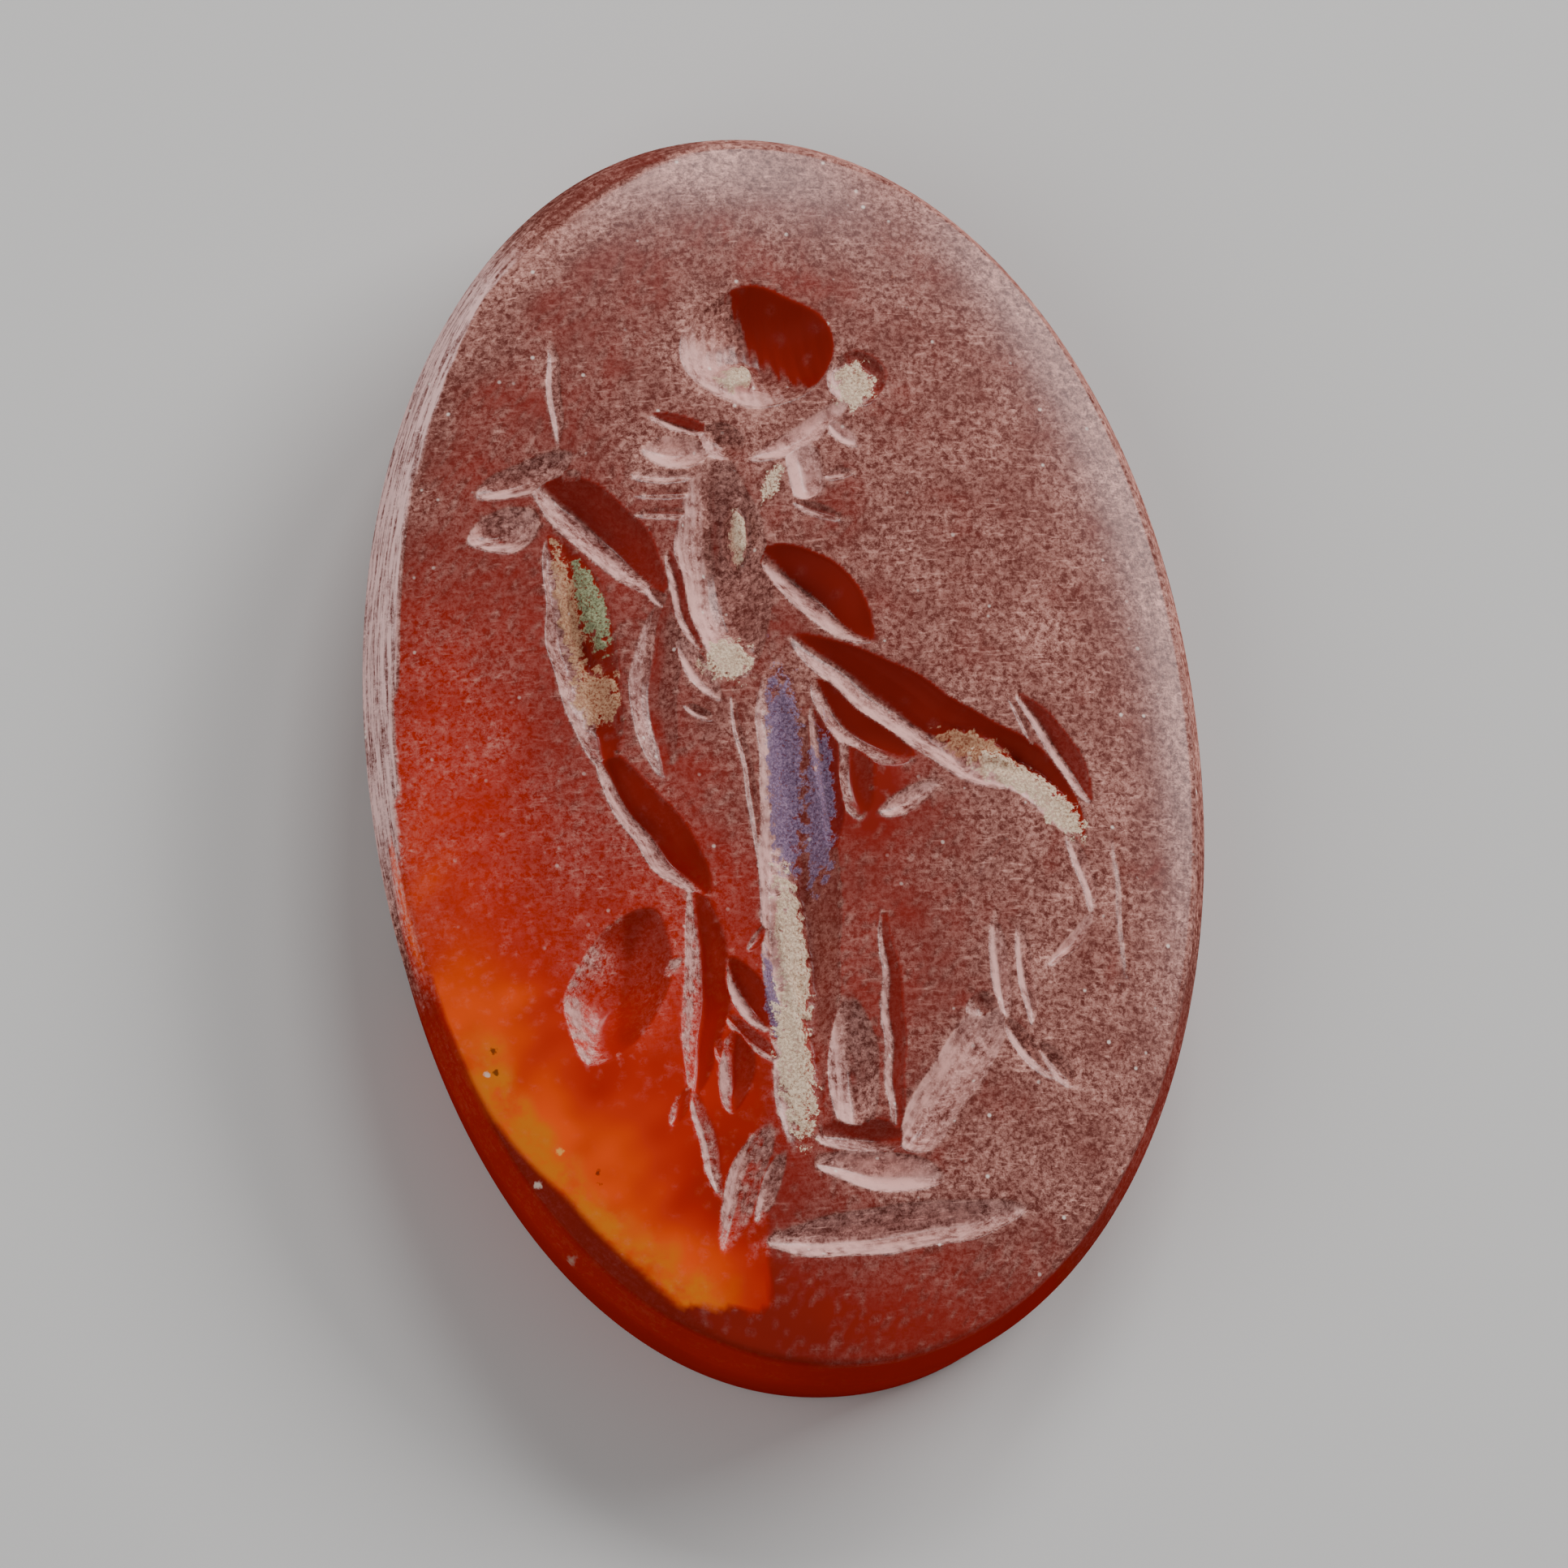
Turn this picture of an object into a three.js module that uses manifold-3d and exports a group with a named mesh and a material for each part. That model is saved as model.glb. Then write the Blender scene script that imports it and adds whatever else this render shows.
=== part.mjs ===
// A carnelian ring stone with a standing figure cut into its face (an intaglio).
// The stone lies on its flat back. Millimetres, +Z up out of the engraved face,
// +Y along the stone towards the figure's head, +X to the right as one looks at the figure.
import * as THREE from "three";
import { mergeVertices } from "three/addons/utils/BufferGeometryUtils.js";
import Module from "manifold-3d";

// Sizes of the stone
const STONE_LENGTH = 13.46;   // along the girdle, the widest line around the stone
const STONE_WIDTH = 8.76;
const THICKNESS = 2.2;        // from the flat back to the crown of the face
const DOME_RISE = 0.38;       // how far the crown stands above the edge of the face
const BEVEL_DROP = 0.3;       // height of the narrow bevel between face and girdle
const BEVEL_WIDTH = 0.14;     // how far that bevel leans out
const WALL_TAPER = 0.24;      // how much the wall draws in from girdle to back
const BACK_SHIFT_X = 0.12;    // the hand-ground back sits a little off centre
const BACK_SHIFT_Y = 0.05;
const BACK_EASE = 0.06;       // softened edge around the back

// Form of the oval and of the dome
const OVAL_POWER = 2.06;      // 2 is an ellipse, a little more is fuller
const DOME_POWER = 4.5;       // a flat middle that rolls down towards its edge
const AROUND = 80;            // facets around the stone
const DOME_SHARES = [0.25, 0.5, 0.7, 0.84, 0.93, 1];

// The figure, from its ground line to the crown of its head
const FIGURE_HEIGHT = 10.1;
const FIGURE_RAISE = -0.1;    // middle of the figure above the middle of the face

// Form of every wheel cut
const SECTION_POWER = 1.6;    // 1 is a plain V, 2 is a round hollow
const OVERRUN = 1.15;         // a cutter runs on past both ends of its cut, by this factor
const TOP_SHARE = 0.4;        // and stands above the surface by this share of its depth

const FACE_EDGE_HEIGHT = THICKNESS - DOME_RISE;
const GIRDLE_HEIGHT = FACE_EDGE_HEIGHT - BEVEL_DROP;
const GIRDLE = { x: STONE_WIDTH / 2, y: STONE_LENGTH / 2 };
const FACE = { x: GIRDLE.x - BEVEL_WIDTH, y: GIRDLE.y - BEVEL_WIDTH };
const BACK = { x: GIRDLE.x - WALL_TAPER, y: GIRDLE.y - WALL_TAPER };

const wasm = await Module();
wasm.setup();

// A point on an oval with the given half sizes
function ovalPoint(half, angle) {
  const bow = (value) => Math.sign(value) * Math.abs(value) ** (2 / OVAL_POWER);
  return new THREE.Vector2(half.x * bow(Math.cos(angle)), half.y * bow(Math.sin(angle)));
}

// Height of the uncut face over a point; it stays level past the edge of the face
function faceHeight(x, y) {
  const out = Math.abs(x / FACE.x) ** OVAL_POWER + Math.abs(y / FACE.y) ** OVAL_POWER;
  const share = Math.min(out ** (1 / OVAL_POWER), 1);
  return FACE_EDGE_HEIGHT + DOME_RISE * (1 - share ** DOME_POWER);
}

// A closed skin over rows of points: rows joined in order, each end closed by a fan.
function skin(rows, firstCentre, lastCentre) {
  const count = rows[0].length;
  const points = rows.flat();
  const faces = [];
  for (let row = 0; row + 1 < rows.length; row += 1) {
    for (let i = 0; i < count; i += 1) {
      const next = (i + 1) % count;
      const [a, b] = [row * count + i, row * count + next];
      const [c, d] = [a + count, b + count];
      faces.push(a, c, b, b, c, d);
    }
  }
  const lastRow = (rows.length - 1) * count;
  points.push(firstCentre, lastCentre);
  for (let i = 0; i < count; i += 1) {
    const next = (i + 1) % count;
    faces.push(points.length - 2, i, next);
    faces.push(points.length - 1, lastRow + next, lastRow + i);
  }
  const geometry = new THREE.BufferGeometry();
  geometry.setFromPoints(points);
  geometry.setIndex(faces);
  return geometry;
}

// The whole stone before it is engraved
function blankStone() {
  const angles = Array.from({ length: AROUND }, (_, i) => (i / AROUND) * 2 * Math.PI);
  const ring = (half, height, shiftX = 0, shiftY = 0) => angles.map((angle) => {
    const point = ovalPoint(half, angle);
    return new THREE.Vector3(point.x + shiftX, point.y + shiftY, height);
  });
  const rows = DOME_SHARES.map((share) => angles.map((angle) => {
    const point = ovalPoint(FACE, angle).multiplyScalar(share);
    return new THREE.Vector3(point.x, point.y, faceHeight(point.x, point.y));
  }));
  const backInner = { x: BACK.x - BACK_EASE, y: BACK.y - BACK_EASE };
  rows.push(ring(GIRDLE, GIRDLE_HEIGHT));
  rows.push(ring(BACK, BACK_EASE, BACK_SHIFT_X, BACK_SHIFT_Y));
  rows.push(ring(backInner, 0, BACK_SHIFT_X, BACK_SHIFT_Y));
  const crown = new THREE.Vector3(0, 0, THICKNESS);
  const backMiddle = new THREE.Vector3(BACK_SHIFT_X, BACK_SHIFT_Y, 0);
  return skin(rows, crown, backMiddle);
}

function solid(geometry) {
  const merged = mergeVertices(geometry, 1e-5);
  const mesh = new wasm.Mesh({
    numProp: 3,
    vertProperties: new Float32Array(merged.attributes.position.array),
    triVerts: new Uint32Array(merged.index.array),
  });
  return new wasm.Manifold(mesh);
}

// A place in the carving, in shares of the figure's height: across from the middle of
// the face, and up from the ground line that the figure stands on.
const at = (across, up) => new THREE.Vector2(
  across * FIGURE_HEIGHT,
  (up - 0.5) * FIGURE_HEIGHT + FIGURE_RAISE,
);

// One cut of the engraver's wheel along a line of places: deepest in the middle, running
// out to a point at both ends, or to short blunt ends. Width and depth are shares too.
function wheelCut(places, width, depth, { steps = 8, facets = 4, blunt = false } = {}) {
  const line = places.length > 2
    ? new THREE.SplineCurve(places)
    : new THREE.LineCurve(places[0], places[1]);
  const halfLength = line.getLength() / 2;
  const halfWidth = (width * FIGURE_HEIGHT) / 2;
  const deepest = depth * FIGURE_HEIGHT;
  const wallTop = (1 + TOP_SHARE) ** (1 / SECTION_POWER);
  const rows = [];
  for (let step = 0; step <= steps; step += 1) {
    const along = ((2 * step) / steps - 1) * OVERRUN;
    const t = THREE.MathUtils.clamp((along + 1) / 2, 0, 1);
    const tangent = line.getTangentAt(t);
    const beyond = Math.sign(along) * Math.max(Math.abs(along) - 1, 0) * halfLength;
    const middle = line.getPointAt(t).addScaledVector(tangent, beyond);
    const side = new THREE.Vector2(tangent.y, -tangent.x);
    const lift = deepest * Math.abs(along) ** (blunt ? 6 : 2);
    rows.push(Array.from({ length: facets + 1 }, (_, i) => {
      const across = ((2 * i) / facets - 1) * wallTop;
      const point = middle.clone().addScaledVector(side, across * halfWidth);
      const down = deepest * (1 - Math.abs(across) ** SECTION_POWER);
      return new THREE.Vector3(point.x, point.y, faceHeight(point.x, point.y) - down + lift);
    }));
  }
  const middleOf = (row) => row
    .reduce((sum, point) => sum.add(point), new THREE.Vector3())
    .divideScalar(row.length);
  return skin(rows, middleOf(rows[0]), middleOf(rows[steps]));
}

// A short round cut of the ball drill
function drillPit(place, width, depth) {
  const reach = new THREE.Vector2(0, (width * FIGURE_HEIGHT) / 2);
  const ends = [place.clone().add(reach), place.clone().sub(reach)];
  return wheelCut(ends, width, depth, { steps: 6 });
}

function staff() {
  return [wheelCut([at(-0.211, 0.951), at(-0.212, 0.839)], 0.014, 0.006, { steps: 6 })];
}

function head() {
  return [
    wheelCut([at(0.001, 1.0), at(0.003, 0.87)], 0.16, 0.042, { facets: 6 }),
    drillPit(at(0.103, 0.896), 0.06, 0.02),
    wheelCut([at(-0.017, 0.811), at(0.052, 0.842), at(0.099, 0.875)], 0.024, 0.012),
    wheelCut([at(0.037, 0.83), at(0.043, 0.768)], 0.038, 0.013, { steps: 6, blunt: true }),
    wheelCut([at(0.066, 0.85), at(0.096, 0.825)], 0.016, 0.008, { steps: 6 }),
    drillPit(at(-0.045, 0.833), 0.044, 0.016),
  ];
}

function torsoAndShoulders() {
  const torso = [at(-0.052, 0.82), at(-0.056, 0.745), at(-0.055, 0.661), at(-0.047, 0.579)];
  return [
    wheelCut(torso, 0.096, 0.038, { steps: 10, facets: 6 }),
    wheelCut([at(-0.026, 0.708), at(0.027, 0.686), at(0.09, 0.614)], 0.062, 0.034),
    wheelCut([at(-0.118, 0.866), at(-0.055, 0.842)], 0.016, 0.01, { steps: 6 }),
    wheelCut([at(-0.13, 0.829), at(-0.055, 0.822)], 0.032, 0.013, { steps: 6 }),
  ];
}

function raisedArmAndHand() {
  return [
    wheelCut([at(-0.302, 0.792), at(-0.248, 0.808), at(-0.197, 0.828)], 0.038, 0.018),
    wheelCut([at(-0.314, 0.74), at(-0.241, 0.761)], 0.042, 0.02),
    wheelCut([at(-0.25, 0.807), at(-0.181, 0.752), at(-0.124, 0.676)], 0.064, 0.032),
    wheelCut([at(-0.153, 0.735), at(-0.132, 0.677), at(-0.106, 0.646)], 0.014, 0.01),
  ];
}

// The garment that hangs from the raised arm and runs down beside the figure
function hangingDrapery() {
  const leaf = [at(-0.231, 0.745), at(-0.214, 0.684), at(-0.21, 0.614), at(-0.197, 0.485)];
  const lower = [at(-0.122, 0.366), at(-0.114, 0.295), at(-0.123, 0.218), at(-0.142, 0.14)];
  return [
    wheelCut(leaf, 0.07, 0.03, { steps: 10 }),
    wheelCut([at(-0.205, 0.508), at(-0.159, 0.431), at(-0.106, 0.346)], 0.052, 0.028),
    wheelCut(lower, 0.045, 0.022, { steps: 10 }),
    wheelCut([at(-0.143, 0.152), at(-0.167, 0.108)], 0.014, 0.007, { steps: 6 }),
    wheelCut([at(-0.143, 0.155), at(-0.123, 0.034)], 0.016, 0.007, { steps: 6 }),
  ];
}

function hipAndWaist() {
  const oval = [at(-0.11, 0.682), at(-0.135, 0.6), at(-0.143, 0.539), at(-0.139, 0.476)];
  return [
    wheelCut(oval, 0.048, 0.018),
    wheelCut([at(-0.112, 0.716), at(-0.091, 0.612)], 0.023, 0.014, { steps: 6 }),
    wheelCut([at(-0.122, 0.635), at(-0.073, 0.557)], 0.023, 0.011, { steps: 6 }),
  ];
}

// The long body of the figure with the folds and pockets beside it
function standingBody() {
  const main = [at(-0.019, 0.59), at(-0.008, 0.471), at(-0.01, 0.35), at(-0.021, 0.221), at(-0.04, 0.075)];
  return [
    wheelCut(main, 0.083, 0.036, { steps: 14 }),
    wheelCut([at(0.021, 0.55), at(0.03, 0.461), at(0.017, 0.37)], 0.031, 0.02),
    wheelCut([at(-0.037, 0.452), at(-0.027, 0.343)], 0.019, 0.012, { steps: 6 }),
    wheelCut([at(-0.092, 0.282), at(-0.072, 0.236), at(-0.052, 0.204)], 0.04, 0.02),
    wheelCut([at(-0.085, 0.21), at(-0.104, 0.118)], 0.035, 0.018, { steps: 6 }),
    wheelCut([at(-0.104, 0.224), at(-0.048, 0.167)], 0.016, 0.008, { steps: 6 }),
    wheelCut([at(-0.07, 0.289), at(-0.04, 0.324)], 0.013, 0.007, { steps: 6 }),
  ];
}

function loweredArmAndCloak() {
  const arm = [at(0.004, 0.624), at(0.099, 0.557), at(0.179, 0.498), at(0.246, 0.462), at(0.289, 0.394)];
  return [
    wheelCut(arm, 0.068, 0.034, { steps: 12 }),
    wheelCut([at(0.237, 0.552), at(0.276, 0.496), at(0.302, 0.434)], 0.026, 0.014),
    wheelCut([at(0.023, 0.574), at(0.068, 0.518), at(0.12, 0.486)], 0.048, 0.02),
    wheelCut([at(0.06, 0.526), at(0.058, 0.424)], 0.044, 0.015, { steps: 6 }),
    wheelCut([at(0.077, 0.43), at(0.147, 0.461)], 0.022, 0.01, { steps: 6 }),
    wheelCut([at(0.274, 0.406), at(0.294, 0.346), at(0.295, 0.312)], 0.015, 0.007),
    wheelCut([at(0.297, 0.319), at(0.269, 0.288), at(0.239, 0.261)], 0.014, 0.008),
  ];
}

// The round shape beside the garment, with the short link to it
function roundPit() {
  return [
    wheelCut([at(-0.163, 0.336), at(-0.205, 0.261), at(-0.248, 0.181)], 0.096, 0.04, { facets: 6 }),
    wheelCut([at(-0.206, 0.237), at(-0.137, 0.287)], 0.022, 0.01, { steps: 6 }),
  ];
}

// What stands on the ground at the figure's side
function standAtSide() {
  return [
    wheelCut([at(0.029, 0.238), at(0.023, 0.086)], 0.057, 0.022),
    wheelCut([at(-0.018, 0.092), at(0.081, 0.087)], 0.036, 0.018, { steps: 6 }),
    wheelCut([at(0.073, 0.33), at(0.074, 0.217), at(0.064, 0.074)], 0.02, 0.011),
    wheelCut([at(0.183, 0.218), at(0.076, 0.072)], 0.052, 0.021, { blunt: true }),
    wheelCut([at(0.19, 0.316), at(0.191, 0.2)], 0.02, 0.009, { steps: 6 }),
    wheelCut([at(0.215, 0.307), at(0.22, 0.198)], 0.015, 0.008, { steps: 6 }),
    wheelCut([at(0.185, 0.21), at(0.236, 0.142)], 0.022, 0.009, { steps: 6 }),
    wheelCut([at(0.224, 0.184), at(0.252, 0.133)], 0.023, 0.01, { steps: 6 }),
    drillPit(at(0.168, 0.219), 0.032, 0.011),
  ];
}

function feetAndGround() {
  return [
    wheelCut([at(-0.065, 0.108), at(-0.097, 0.045), at(-0.122, -0.024)], 0.038, 0.016),
    wheelCut([at(-0.052, 0.078), at(-0.088, 0.002)], 0.017, 0.009, { steps: 6 }),
    wheelCut([at(-0.022, 0.063), at(0.113, 0.042)], 0.041, 0.02),
    wheelCut([at(-0.084, -0.019), at(0.056, -0.008), at(0.199, 0.007)], 0.048, 0.024, { steps: 10 }),
  ];
}

function engravedStone() {
  const cuts = [
    staff(), head(), torsoAndShoulders(), raisedArmAndHand(), hangingDrapery(), hipAndWaist(),
    standingBody(), loweredArmAndCloak(), roundPit(), standAtSide(), feetAndGround(),
  ].flat();
  let stone = solid(blankStone());
  for (const cut of cuts) stone = stone.subtract(solid(cut));
  const mesh = stone.getMesh();
  const geometry = new THREE.BufferGeometry();
  const positions = new Float32Array(mesh.vertProperties);
  geometry.setAttribute("position", new THREE.BufferAttribute(positions, mesh.numProp));
  geometry.setIndex(new THREE.BufferAttribute(new Uint32Array(mesh.triVerts), 1));
  geometry.computeVertexNormals();
  return geometry;
}

const carnelian = new THREE.MeshStandardMaterial({ color: 0x9c3a2c, roughness: 0.45, metalness: 0 });
const stoneMesh = new THREE.Mesh(engravedStone(), carnelian);
stoneMesh.name = "engraved_stone";

const ringStone = new THREE.Group();
ringStone.add(stoneMesh);

export default ringStone;
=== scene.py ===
# %% [markdown]
# # An engraved carnelian ring stone
#
# A carnelian intaglio is one small piece of translucent red stone. Its face is a low dome,
# and a figure is cut down into it with little turning wheels and drills. Centuries of wear
# have left the face frosted with fine pale scratches, while the hollows kept some of their
# polish and some dirt.
#
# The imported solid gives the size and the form. Here the same stone is made again as one
# fine closed mesh, so that the worn edges, the wheel marks and the crusts in the hollows
# are real shape, and then it gets its material, its light and its camera.

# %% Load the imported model
import math

import bpy
import numpy as np
from mathutils import Matrix, Vector


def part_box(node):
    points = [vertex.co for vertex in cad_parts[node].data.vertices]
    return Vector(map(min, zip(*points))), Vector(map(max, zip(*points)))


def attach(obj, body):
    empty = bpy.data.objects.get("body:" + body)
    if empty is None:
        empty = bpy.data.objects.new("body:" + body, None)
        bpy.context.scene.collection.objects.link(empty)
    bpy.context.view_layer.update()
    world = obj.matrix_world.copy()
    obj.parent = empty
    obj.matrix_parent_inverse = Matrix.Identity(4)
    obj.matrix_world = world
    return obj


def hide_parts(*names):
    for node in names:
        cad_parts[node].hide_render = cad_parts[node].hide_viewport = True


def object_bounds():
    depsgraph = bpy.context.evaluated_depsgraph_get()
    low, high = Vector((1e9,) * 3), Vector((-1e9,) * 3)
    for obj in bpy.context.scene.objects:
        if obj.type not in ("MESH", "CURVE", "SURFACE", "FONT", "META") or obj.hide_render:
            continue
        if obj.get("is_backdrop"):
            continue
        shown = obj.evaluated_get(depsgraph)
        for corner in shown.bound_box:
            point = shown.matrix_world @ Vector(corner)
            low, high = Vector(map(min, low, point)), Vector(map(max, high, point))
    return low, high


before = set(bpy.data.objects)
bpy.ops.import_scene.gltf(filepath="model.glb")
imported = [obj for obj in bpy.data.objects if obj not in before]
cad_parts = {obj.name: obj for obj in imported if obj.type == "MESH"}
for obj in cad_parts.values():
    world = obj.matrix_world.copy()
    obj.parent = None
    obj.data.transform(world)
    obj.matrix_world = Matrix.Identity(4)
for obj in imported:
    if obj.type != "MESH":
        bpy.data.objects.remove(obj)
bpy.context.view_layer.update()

MM = 0.001
STONE_NODE = "engraved_stone"
stone_low, stone_high = (np.array(corner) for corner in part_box(STONE_NODE))
print("the packed stone measures", (stone_high - stone_low) / MM, "mm")

# %% [markdown]
# ## Sizes of the stone
#
# The overall length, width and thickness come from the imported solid. What can't be read
# from its box, such as the rise of the dome or the lean of the bevel, is named here with
# the same values that the solid was made with.

# %% Sizes
STONE_WIDTH, STONE_LENGTH, THICKNESS = (stone_high - stone_low)
DOME_RISE = 0.38 * MM
BEVEL_DROP = 0.3 * MM
BEVEL_WIDTH = 0.14 * MM
WALL_TAPER = 0.24 * MM
BACK_SHIFT = np.array([0.12, 0.05]) * MM
BACK_EASE = 0.06 * MM
OVAL_POWER = 2.06
DOME_POWER = 4.5
FIGURE_HEIGHT = 10.1 * MM
FIGURE_RAISE = -0.1 * MM
SECTION_POWER = 1.6

FACE_EDGE_HEIGHT = THICKNESS - DOME_RISE
GIRDLE_HEIGHT = FACE_EDGE_HEIGHT - BEVEL_DROP
GIRDLE = np.array([STONE_WIDTH, STONE_LENGTH]) / 2
FACE = GIRDLE - BEVEL_WIDTH
BACK = GIRDLE - WALL_TAPER
print("the girdle stands", round(GIRDLE_HEIGHT / MM, 2), "mm above the flat back")


def oval_share(xy, half):
    """How far out a point lies on an oval: 0 in its middle, 1 on its edge."""
    return (np.abs(xy / half) ** OVAL_POWER).sum(axis=1) ** (1 / OVAL_POWER)


def onto_oval(xy, half):
    """Carry points of the unit disc onto the oval with the given half sizes."""
    radius = np.hypot(xy[:, 0], xy[:, 1])
    share = oval_share(xy, np.ones(2))
    scale = np.divide(radius, share, out=np.ones_like(radius), where=share > 0)
    return xy * scale[:, None] * half


def dome_height(xy):
    """Height of the uncut face; it stays level past the edge of the face."""
    share = np.minimum(oval_share(xy, FACE), 1)
    return FACE_EDGE_HEIGHT + DOME_RISE * (1 - share ** DOME_POWER)


# %% [markdown]
# ## The engraver's cuts
#
# Every line of the figure is one pass of a small wheel, so every cut has the same simple
# form: a V with a slightly round bottom, deepest in the middle and running out at both
# ends. A cut is kept as its line of places with a width and a depth, all in shares of the
# figure's height, and the same function measures how deep any point of the face lies in it.

# %% A cut and the place it is made
STEPS_A_STRETCH = 40
REACH_OF_CUT = 1.6


def at(across, up):
    """A place in the carving, in shares of the figure's height."""
    return np.array([across * FIGURE_HEIGHT, (up - 0.5) * FIGURE_HEIGHT + FIGURE_RAISE])


def smooth_line(places, samples=33):
    """Points along a smooth curve through the places, at even steps."""
    places = np.array(places)
    if len(places) == 2:
        return places[0] + np.linspace(0, 1, samples)[:, None] * (places[1] - places[0])
    ends = np.vstack([2 * places[0] - places[1], places, 2 * places[-1] - places[-2]])
    t = np.linspace(0, 1, STEPS_A_STRETCH)[:, None]
    pieces = []
    for a, b, c, d in zip(ends, ends[1:], ends[2:], ends[3:]):
        pieces.append(0.5 * (2 * b + (c - a) * t + (2 * a - 5 * b + 4 * c - d) * t ** 2
                             + (3 * b - a - 3 * c + d) * t ** 3))
    curve = np.vstack(pieces)
    steps = np.r_[0, np.cumsum(np.hypot(*np.diff(curve, axis=0).T))]
    even = np.linspace(0, steps[-1], samples)
    return np.column_stack([np.interp(even, steps, curve[:, k]) for k in (0, 1)])


class WheelCut:
    """One cut: line, half width and depth in metres, wheel ribs, how polished its shaded walls are and
    how pale it is.
    """

    def __init__(self, places, width, depth, blunt=False, ribs=0, clean=0.3, pale=0.0):
        self.line = smooth_line(places)
        self.half_width = width * FIGURE_HEIGHT / 2
        self.depth = depth * FIGURE_HEIGHT
        self.end_power = 6 if blunt else 2
        self.ribs = ribs
        self.clean = clean
        self.pale = pale
        steps = np.hypot(*np.diff(self.line, axis=0).T)
        self.length = steps.sum()

    def place_of(self, xy):
        """For each point: share along the cut from -1 to 1, and share across it."""
        starts, runs = self.line[:-1], np.diff(self.line, axis=0)
        lengths = np.hypot(runs[:, 0], runs[:, 1])
        along_run = ((xy[:, None] - starts) * runs).sum(2) / lengths ** 2
        inner = along_run.copy()
        inner[:, 1:] = np.maximum(inner[:, 1:], 0)
        inner[:, :-1] = np.minimum(inner[:, :-1], 1)
        near = starts + inner[:, :, None] * runs
        away = xy[:, None] - near
        pick = (away ** 2).sum(2).argmin(1)
        rows = np.arange(len(xy))
        done = np.r_[0, np.cumsum(lengths)][pick] + inner[rows, pick] * lengths[pick]
        normal = np.column_stack([runs[:, 1], -runs[:, 0]])[pick] / lengths[pick][:, None]
        side = (away[rows, pick] * normal).sum(1)
        return 2 * done / self.length - 1, side / self.half_width

    def dig(self, xy):
        """Depth of this cut at each point (below 0 outside it), with the shares used."""
        margin = self.half_width * REACH_OF_CUT
        low = self.line.min(axis=0) - margin
        high = self.line.max(axis=0) + margin
        found = np.flatnonzero(((xy > low) & (xy < high)).all(axis=1))
        along, across = self.place_of(xy[found])
        fall = np.abs(along) ** self.end_power + np.abs(across) ** SECTION_POWER
        return found, self.depth * (1 - fall), along, across


# %% [markdown]
# ## The figure
#
# The figure stands on a short ground line. It leans on a staff with one raised arm, a
# garment hangs from that arm, the other arm comes down with a cloak over it, and a small
# stand and a round shape are set beside the feet. Each part below is the handful of cuts
# that make it. The head is a plain hollow.

# %% Cuts of the figure
def staff():
    return [WheelCut([at(-0.211, 0.951), at(-0.212, 0.839)], 0.014, 0.006, pale=0.2)]


def head():
    neck = [at(-0.017, 0.811), at(0.052, 0.842), at(0.099, 0.875)]
    return [
        WheelCut([at(0.001, 1.0), at(0.003, 0.87)], 0.16, 0.042, ribs=14, clean=1.0),
        WheelCut([at(0.103, 0.926), at(0.103, 0.866)], 0.06, 0.02, clean=0.7),
        WheelCut(neck, 0.024, 0.012, clean=0.1, pale=0.45),
        WheelCut([at(0.037, 0.83), at(0.043, 0.768)], 0.038, 0.013, blunt=True, pale=0.5),
        WheelCut([at(0.066, 0.85), at(0.096, 0.825)], 0.016, 0.008, pale=0.6),
        WheelCut([at(0.057, 0.79), at(0.087, 0.796)], 0.011, 0.005, pale=0.3),
        WheelCut([at(0.022, 0.767), at(0.071, 0.744)], 0.013, 0.006),
        WheelCut([at(-0.045, 0.855), at(-0.045, 0.811)], 0.044, 0.016),
    ]


def torso_and_shoulders():
    torso = [at(-0.052, 0.82), at(-0.056, 0.745), at(-0.055, 0.661), at(-0.047, 0.579)]
    return [
        WheelCut(torso, 0.096, 0.038, ribs=10, clean=0.2, pale=0.08),
        WheelCut([at(-0.026, 0.708), at(0.027, 0.686), at(0.09, 0.614)], 0.062, 0.034, clean=1.0),
        WheelCut([at(-0.118, 0.866), at(-0.055, 0.842)], 0.016, 0.01, clean=0.9),
        WheelCut([at(-0.13, 0.829), at(-0.055, 0.822)], 0.032, 0.013, ribs=4, clean=0.15, pale=0.3),
        WheelCut([at(-0.142, 0.801), at(-0.073, 0.799)], 0.012, 0.004, pale=0.3),
        WheelCut([at(-0.146, 0.761), at(-0.065, 0.759)], 0.012, 0.004),
        WheelCut([at(-0.14, 0.782), at(-0.07, 0.78)], 0.009, 0.003),
    ]


def raised_arm_and_hand():
    hand = [at(-0.302, 0.792), at(-0.248, 0.808), at(-0.197, 0.828)]
    arm = [at(-0.25, 0.807), at(-0.181, 0.752), at(-0.124, 0.676)]
    return [
        WheelCut(hand, 0.038, 0.018, ribs=4, clean=0.15, pale=0.2),
        WheelCut([at(-0.314, 0.74), at(-0.241, 0.761)], 0.042, 0.02, ribs=5, clean=0.15, pale=0.3),
        WheelCut(arm, 0.064, 0.032, ribs=6, clean=0.9),
        WheelCut([at(-0.153, 0.735), at(-0.132, 0.677), at(-0.106, 0.646)], 0.014, 0.01),
        WheelCut([at(-0.219, 0.801), at(-0.193, 0.806)], 0.014, 0.006),
    ]


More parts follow.
